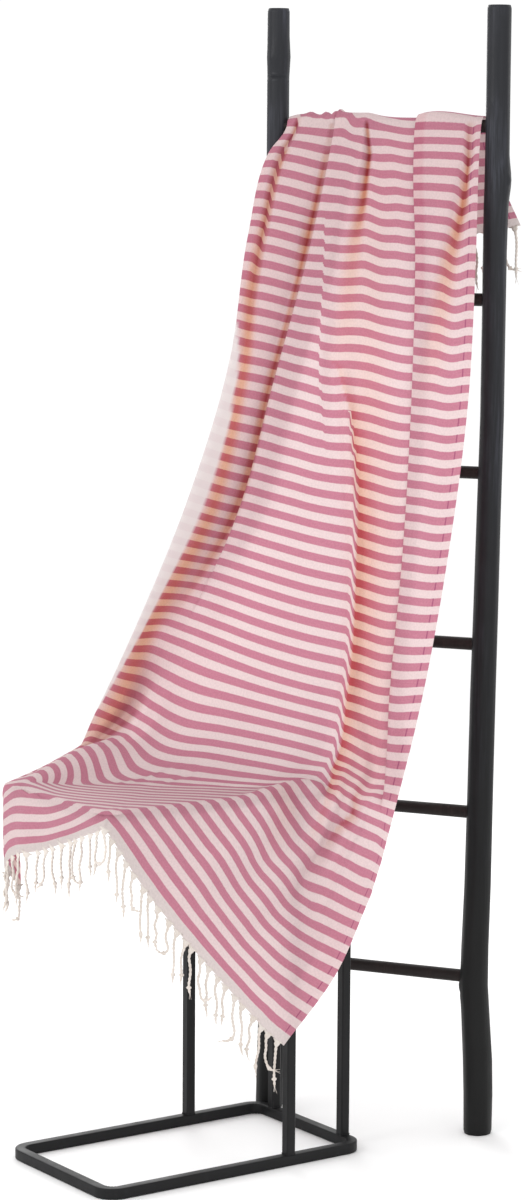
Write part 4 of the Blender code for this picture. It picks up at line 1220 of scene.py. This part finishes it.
def across_the_towel(rows, places, corner_sharp):
    """Smooth sections through the key points: points with stripes, and places, per row."""
    nodes = rows.transpose(1, 0, 2)
    steps = np.maximum(np.linalg.norm(np.diff(nodes[..., :3], axis=0), axis=2), 1e-5)
    slopes, tangents = slopes_through(nodes, steps)
    widths = steps.mean(axis=1)
    columns = []
    marks = []
    for i in range(len(places) - 1):
        count = max(1, int(round(widths[i] / COLUMN_SPACING)))
        start, end = tangents[i], tangents[i + 1]
        if places[i] == LINE_PLACE["corner_way"]:
            start = start * (1 - corner_sharp) + slopes[i] * corner_sharp
        if places[i + 1] == LINE_PLACE["corner_way"]:
            end = end * (1 - corner_sharp) + slopes[i] * corner_sharp
        for j in range(count):
            t = j / count
            columns.append(hermite(nodes[i], nodes[i + 1], start, end, steps[i][:, None], t))
            marks.append(places[i] * (1 - t) + places[i + 1] * t)
    columns.append(nodes[-1])
    marks.append(places[-1])
    return np.array(columns).transpose(1, 0, 2), np.array(marks)


def row_of(key):
    """Row number of a table's key: a station, or a station and a share of the way onwards."""
    if isinstance(key, tuple):
        return STATIONS.index(key[0]) + key[1]
    return float(STATIONS.index(key))


def each_fold(table, row_place):
    """Place, width and size in every row of each fold of a table; its size is 0 past its ends."""
    for keys in table.values():
        rows = [row_of(key) for key in keys]
        inside = (row_place >= rows[0]) & (row_place <= rows[-1])
        place, width, size = (np.interp(row_place, rows, column) for column in zip(*keys.values()))
        yield place, width[:, None], (size * inside)[:, None]


def reach_of(place, marks, reach):
    """How far from the right edge, in millimetres, a place lies in each row."""
    return np.array([np.interp(place[i], marks, reach[i]) for i in range(len(place))])[:, None]


def fold_values(table, row_place, marks, reach):
    """Sum of a table's soft folds over the grid of rows and columns."""
    total = np.zeros(reach.shape)
    for place, half, height in each_fold(table, row_place):
        away = np.abs(reach - reach_of(place, marks, reach)) / half
        total += np.cos(np.minimum(away, 1.0) * math.pi / 2) ** 2 * height
    return total


def jump_values(table, row_place, marks):
    """Sum of the stripes' jumps at creases."""
    total = np.zeros((len(row_place), len(marks)))
    for place, width, size in each_fold(table, row_place):
        t = np.clip((marks[None, :] - place[:, None]) / width + 0.5, 0, 1)
        total += t * t * (3 - 2 * t) * size
    return total


def beside_values(table, row_place, marks, reach):
    """Sum of what lies right of each place, strongest beside it, over the rows and columns."""
    total = np.zeros(reach.shape)
    right = (marks >= LINE_PLACE["tuck"])[None, :]
    for place, width, size in each_fold(table, row_place):
        away = reach_of(place, marks, reach) - reach
        start = np.clip(away / BAND_EDGE + 0.5, 0, 1)
        fade = np.clip(1 - away / width, 0, 1) ** PAINTED_FOLD_SHADE_FADE
        total += start * fade * right * size
    return total


def band_values(table, fold_line, row_place, marks, reach):
    """1 on the band that lies along the right of a fold."""
    rows = [row_of(key) for key in table]
    width = np.interp(row_place, rows, list(table.values()), left=0, right=0)
    fold = int(np.argmax(marks >= LINE_PLACE[fold_line]))
    from_fold = reach[:, fold:fold + 1] - reach
    band = np.clip((width[:, None] - from_fold) / BAND_EDGE, 0, 1)
    band[:, marks > LINE_PLACE[fold_line] + FOLD_REACH] = 0
    band[width <= 0] = 0
    return band


def grid_normals(grid):
    down = np.gradient(grid, axis=0)
    left = np.gradient(grid, axis=1)
    return unit(np.cross(left, down))


def clear_of_table(point):
    """Moves a point of the cloth off the table, up or outwards, whichever is nearer."""
    edge, out, distance = outline_edge(point[0], point[1])
    sideways = TABLE_CLEAR - distance
    upwards = TABLE_HEIGHT + TABLE_CLEAR - point[2]
    if sideways <= 0 or upwards <= 0:
        return point
    if distance > 0 and point[2] > TABLE_HEIGHT:
        corner = math.hypot(distance, point[2] - TABLE_HEIGHT)
        if corner >= TABLE_CLEAR:
            return point
        scale = TABLE_CLEAR / max(corner, 1e-6)
        moved = edge + out * distance * scale
        return np.array([moved[0], moved[1], TABLE_HEIGHT + (point[2] - TABLE_HEIGHT) * scale])
    if sideways < upwards:
        return point + out * sideways
    return np.array([point[0], point[1], TABLE_HEIGHT + TABLE_CLEAR])


def row_plan(sections):
    """How many rows lie between each pair of stations, and each row's place between them."""
    nodes = np.array(sections)[:, :, 1:4]
    lengths = np.linalg.norm(np.diff(nodes, axis=0), axis=2).mean(axis=1)
    counts = [max(2, int(round(length / ROW_SPACING))) for length in lengths]
    places = [0.0]
    for station, count in enumerate(counts):
        places += [station + j / count for j in range(1, count + 1)]
    return counts, np.array(places)


def snap_to_edge(grid, row_place, marks):
    """Lays the rows that cross the table's edge on its true rounded outline."""
    stations = [STATIONS.index(s) for s in OVER_THE_EDGE]
    sizes = np.array(list(OVER_THE_EDGE.values()))
    inside = (marks >= LINE_PLACE["crease"]) & (marks < LINE_PLACE["pleat"])
    for i, row in enumerate(row_place):
        if not stations[0] <= row <= stations[-1]:
            continue
        outwards = np.interp(row, stations, sizes[:, 0])
        up = np.interp(row, stations, sizes[:, 1])
        for j in np.nonzero(inside)[0]:
            grid[i, j] = over_the_edge(grid[i, j, 0], grid[i, j, 1], outwards, up)


def fine_ripples(row_place, across):
    """Small unevenness of washed cotton, in metres."""
    rows = row_place[:, None]
    ripple = 0.0009 * np.sin(across * 41.0 + 0.9 * rows + 1.3 * np.sin(rows * 1.7))
    ripple += 0.0006 * np.sin(across * 97.0 - 2.3 * rows + 0.4) * np.sin(rows * 2.6 + 1.0)
    return ripple * np.interp(rows, [row_of(key) for key in RIPPLE_SHARE],
                              list(RIPPLE_SHARE.values()))


def towel_surface():
    sections = [section_at(station) for station in STATIONS]
    places = [key[0] for key in sections[0]]
    counts, row_place = row_plan(sections)
    sharp = [STATIONS.index(s) for s in ("lift", "brink", "roll", "drop")]
    rows = along_the_towel(sections, counts, sharp)
    low, brink = STATIONS.index("low"), STATIONS.index("brink")
    corner_sharp = np.interp(row_place, [low, brink], [0.0, 1.0])[:, None]
    full, marks = across_the_towel(rows, places, corner_sharp)
    grid = full[..., :3].copy()
    stripes = full[..., 3].copy()
    snap_to_edge(grid, row_place, marks)

    steps = np.linalg.norm(np.diff(grid, axis=1), axis=2)
    run = np.concatenate([np.zeros((len(grid), 1)), np.cumsum(steps, axis=1)], axis=1)
    across = run / run[:, -1:] * TOWEL_FLAT[0]
    selvedge = np.minimum(run, run[:, -1:] - run)

    frames = [frame_at(station) for station in STATIONS]
    rights, outs = (unit(np.stack([np.interp(row_place, range(len(STATIONS)),
                                             [frame[side][c] for frame in frames])
                                   for c in range(3)], axis=1)) for side in (0, 1))
    level = (grid[:, :1] * rights[:, None]).sum(axis=2) - (grid * rights[:, None]).sum(axis=2)
    spread = np.interp(row_place, [low, low + 1], [0.0, 1.0])[:, None]
    reach = (level * (1 - spread) + run * spread) / MM
    at = (row_place, marks, reach)

    normals = grid_normals(grid)
    heights = fold_values(SOFT_FOLDS, *at) * MM
    heights += fine_ripples(row_place, across)
    facing = np.sign((normals * outs[:, None, :]).sum(axis=2, keepdims=True) + 1e-9)
    way = unit(outs[:, None, :] * (1 - spread[..., None]) + normals * facing * spread[..., None])
    grid += way * heights[..., None]
    for i in range(grid.shape[0]):
        if row_place[i] < low:
            continue
        for j in range(grid.shape[1]):
            if grid[i, j, 2] < TABLE_HEIGHT + NEAR_TABLE:
                grid[i, j] = clear_of_table(grid[i, j])
    stripes += jump_values(STRIPE_JUMPS, row_place, marks)
    stripes += fold_values(STRIPE_SAGS, *at)
    # painted light and shade, carried to the material as attributes on the cloth
    painted_transmitted_light = np.clip(fold_values(PAINTED_TRANSMITTED_LIGHT_PLACES, *at), 0, 1)
    painted_transmitted_light[:, marks >= LINE_PLACE["left_fold"] + FOLD_REACH] = MARGIN_TRANSMITTED_LIGHT
    values = {"stripe": stripes, "across": across, "selvedge": selvedge, "painted_transmitted_light": painted_transmitted_light,
              "shade": np.clip(fold_values(SHADE_PLACES, *at), 0, 1),
              "painted_fold_shade": np.clip(beside_values(PAINTED_FOLD_SHADE_PLACES, *at), 0, 1),
              "painted_see_through": band_values(PAINTED_SEE_THROUGH_BAND, "tuck", *at),
              "pale": band_values(PAINTED_BACKLIT_RIM, "left_fold", *at) * PAINTED_BACKLIT_RIM_COVER}
    dive = jump_values(STRIPE_DIVE, row_place, marks)
    return grid + MIDDLE, values, dive


def at_corners(table):
    """The four corner values of every face, in the order of its corners."""
    return np.stack([table[:-1, :-1], table[:-1, 1:], table[1:, 1:], table[1:, :-1]], axis=-1)


def make_towel(mat):
    grid, values, dive = towel_surface()
    rows, columns = grid.shape[:2]
    faces = []
    for i in range(rows - 1):
        for j in range(columns - 1):
            a = i * columns + j
            faces.append((a, a + 1, a + columns + 1, a + columns))
    mesh = bpy.data.meshes.new("towel_cloth")
    mesh.from_pydata(grid.reshape(-1, 3).tolist(), [], faces)
    mesh.materials.append(mat)
    started = dive[:-1, -1] > 0
    values["stripe"] = at_corners(values["stripe"]) + at_corners(dive) * started[:, None, None]
    for name, value in values.items():
        domain = "CORNER" if name == "stripe" else "POINT"
        layer = mesh.attributes.new(name, "FLOAT", domain)
        layer.data.foreach_set("value", value.astype(np.float32).reshape(-1))
    mesh.polygons.foreach_set("use_smooth", [True] * len(mesh.polygons))
    mesh.update()
    towel = link("towel_cloth", mesh)
    stand_for(towel, "towel")
    return towel, grid


# ================================================================ fringe

def tassel_path(root, away, length, number):
    """A twisted cord leaving the hem, then hanging; some ends curl up."""
    rng = np.random.default_rng(number)
    count = max(8, int(length / TASSEL_STEP))
    sway = rng.uniform(-SWAY, SWAY, 2)
    wave = rng.uniform(*WAVE_WIDTHS)
    turns = rng.uniform(*WAVE_TURNS)
    start = rng.uniform(0, 2 * math.pi)
    curl = rng.uniform(0.3, 1.0) if number % 4 == 1 else 0.0
    point = np.array(root, float)
    points = [point]
    direction = unit(np.array(away, float))
    for i in range(count):
        t = (i + 1) / count
        down = np.array([sway[0], sway[1], -1.0])
        if curl and t > CURL_START:
            a = (t - CURL_START) / (1 - CURL_START) * math.pi * curl * CURL_TURN
            down = np.array([math.sin(a) * (1 if number % 8 == 1 else -1), sway[1], -math.cos(a)])
        pull = PULL_DOWN[0] if t < CURL_START else PULL_DOWN[1]
        direction = unit(direction * (1 - pull) + unit(down) * pull)
        point = point + direction * length / count
        points.append(point)
    points = np.array(points)
    t = np.linspace(0, 1, len(points))
    grow = np.minimum(1.0, t * 4)
    points[:, 0] += wave * np.sin(start + t * turns * 2 * math.pi) * grow
    points[:, 1] += wave * 0.7 * np.cos(start + t * turns * 2 * math.pi) * grow
    return points


def cord_rings(points, side_way, profile):
    """Rings of a twisted cord along the points; profile gives radius and flattening."""
    tangents = unit(np.gradient(points, axis=0))
    runs = running_length(points)
    rings = []
    side = unit(side_way)
    for i, (point, tangent) in enumerate(zip(points, tangents)):
        side = unit(side - tangent * (side @ tangent))
        other = np.cross(tangent, side)
        radius, wide = profile(runs[i] / runs[-1])
        twist = 2 * math.pi * runs[i] / TASSEL_TWIST
        ring = []
        for a in circle(TASSEL_SIDES):
            r = radius * (1 + PLY_DEPTH * math.cos(PLIES * (a - twist / 2)))
            ring.append(point + side * r * wide * math.cos(a) + other * r * math.sin(a))
        rings.append(ring)
    return rings


def tassel_profile(knot, length, root_width):
    """Radius and flattening down a tassel: threads gather at its root, a knot near its end."""
    def profile(t):
        radius = TASSEL_RADIUS * (1.0 - TAPER * t)
        radius += TASSEL_RADIUS * KNOT_SWELL * math.exp(-((t - knot) / KNOT_LENGTH) ** 2)
        if t > TIP_START:
            radius *= 1.0 - TIP_TAPER * (t - TIP_START) / TIP_LENGTH
        gather = math.exp(-(t * length / ROOT_LENGTH) ** ROOT_POWER)
        thick = radius * (1.0 - ROOT_THINNING * gather)
        half_width = radius + (root_width / 2 - radius) * gather
        return thick, half_width / thick
    return profile


def make_fringe(name, node, edge, away, count, lengths, mat):
    """Twisted tassels along one end of the cloth, joined as one piece."""
    runs = running_length(edge)
    pitch = runs[-1] / count
    verts = []
    faces = []

    def add(rings):
        new_verts, new_faces = loft(rings)
        base = len(verts)
        verts.extend(new_verts)
        faces.extend(tuple(v + base for v in face) for face in new_faces)

    for number in range(count):
        rng = np.random.default_rng(FIRST_SEED + number)
        astray = rng.uniform(-ROOT_ASTRAY, ROOT_ASTRAY)
        distance = runs[-1] * (number + 0.5 + astray) / count
        root = point_at(distance, runs, edge)
        out = unit(point_at(distance, runs, away))
        side = unit(point_at(distance + 2 * MM, runs, edge) - root)
        length = lengths[0] + (lengths[1] - lengths[0]) * rng.uniform(0, 1)
        knot = rng.uniform(*KNOT_PLACES)
        points = tassel_path(root - out * ROOT_INSET, out, length, number)
        add(cord_rings(points, side, tassel_profile(knot, length, pitch * ROOT_SHARE)))
        for _ in range(END_STRANDS):
            tip = points[-2]
            spread = rng.uniform(-STRAND_SPREAD, STRAND_SPREAD, 3)
            way = unit(unit(points[-1] - points[-6]) + spread)
            reach = rng.uniform(*STRAND_LENGTHS)
            fray = np.array([tip + way * reach * s for s in np.linspace(0, 1, 5)])
            add(cord_rings(fray, side, lambda t: (STRAND_RADIUS * (1 - 0.5 * t), 1.0)))
    fringe = add_mesh(name, verts, faces, mat)
    stand_for(fringe, node)
    return fringe


def make_fringes(grid, mat):
    front = make_fringe("front_tassels", "fringe_front", grid[-1], unit(grid[-1] - grid[-3]),
                        FRONT_TASSELS, FRONT_LENGTHS, mat)
    rear = make_fringe("rear_tassels", "fringe_rear", grid[0], unit(grid[0] - grid[2]),
                       REAR_TASSELS, REAR_LENGTHS, mat)
    return [front, rear]


# ================================================================ stage

def make_camera():
    data = bpy.data.cameras.new("photo_view")
    data.sensor_fit = "VERTICAL"
    data.sensor_height = CAMERA_SENSOR
    data.lens = CAMERA_LENS
    camera = link("photo_view", data)
    camera.matrix_world = (Matrix.Translation(CAMERA_PLACE)
                           @ Matrix.Rotation(CAMERA_TURN, 4, "Z")
                           @ Matrix.Rotation(math.pi / 2 - CAMERA_DOWN, 4, "X")
                           @ Matrix.Rotation(CAMERA_ROLL, 4, "Z"))
    bpy.context.scene.camera = camera


def make_lights():
    for name, (place, target, width, height, watts) in LIGHTS.items():
        data = bpy.data.lights.new(name, "AREA")
        data.shape = "RECTANGLE"
        data.size = width
        data.size_y = height
        data.energy = watts
        light = link(name, data)
        way = np.array(target) - np.array(place)
        light.matrix_world = (Matrix.Translation(place)
                              @ Vector(way).to_track_quat("-Z", "Y").to_matrix().to_4x4())
    world = bpy.data.worlds.new("white_studio")
    world.use_nodes = True
    background = world.node_tree.nodes["Background"]
    background.inputs["Color"].default_value = (1.0, 1.0, 1.0, 1.0)
    background.inputs["Strength"].default_value = WORLD_LIGHT
    bpy.context.scene.world = world
    bpy.context.scene.view_settings.view_transform = "Standard"


def make_floor():
    corners = [(x * FLOOR_REACH, y * FLOOR_REACH, 0.0)
               for x, y in ((-1, -1), (1, -1), (1, 1), (-1, 1))]
    floor = add_mesh("floor", corners, [(0, 1, 2, 3)], floor_material(), smooth=False)
    floor.location = (0.0, 0.0, -FLOOR_BELOW)


def write_sizes():
    def plain(box):
        return [[float(v) for v in corner] for corner in box]


make_camera()
make_lights()
make_floor()
make_ladder()
make_table()
towel, towel_grid = make_towel(cloth_material())
fringes = make_fringes(towel_grid, cotton_material())
write_sizes()
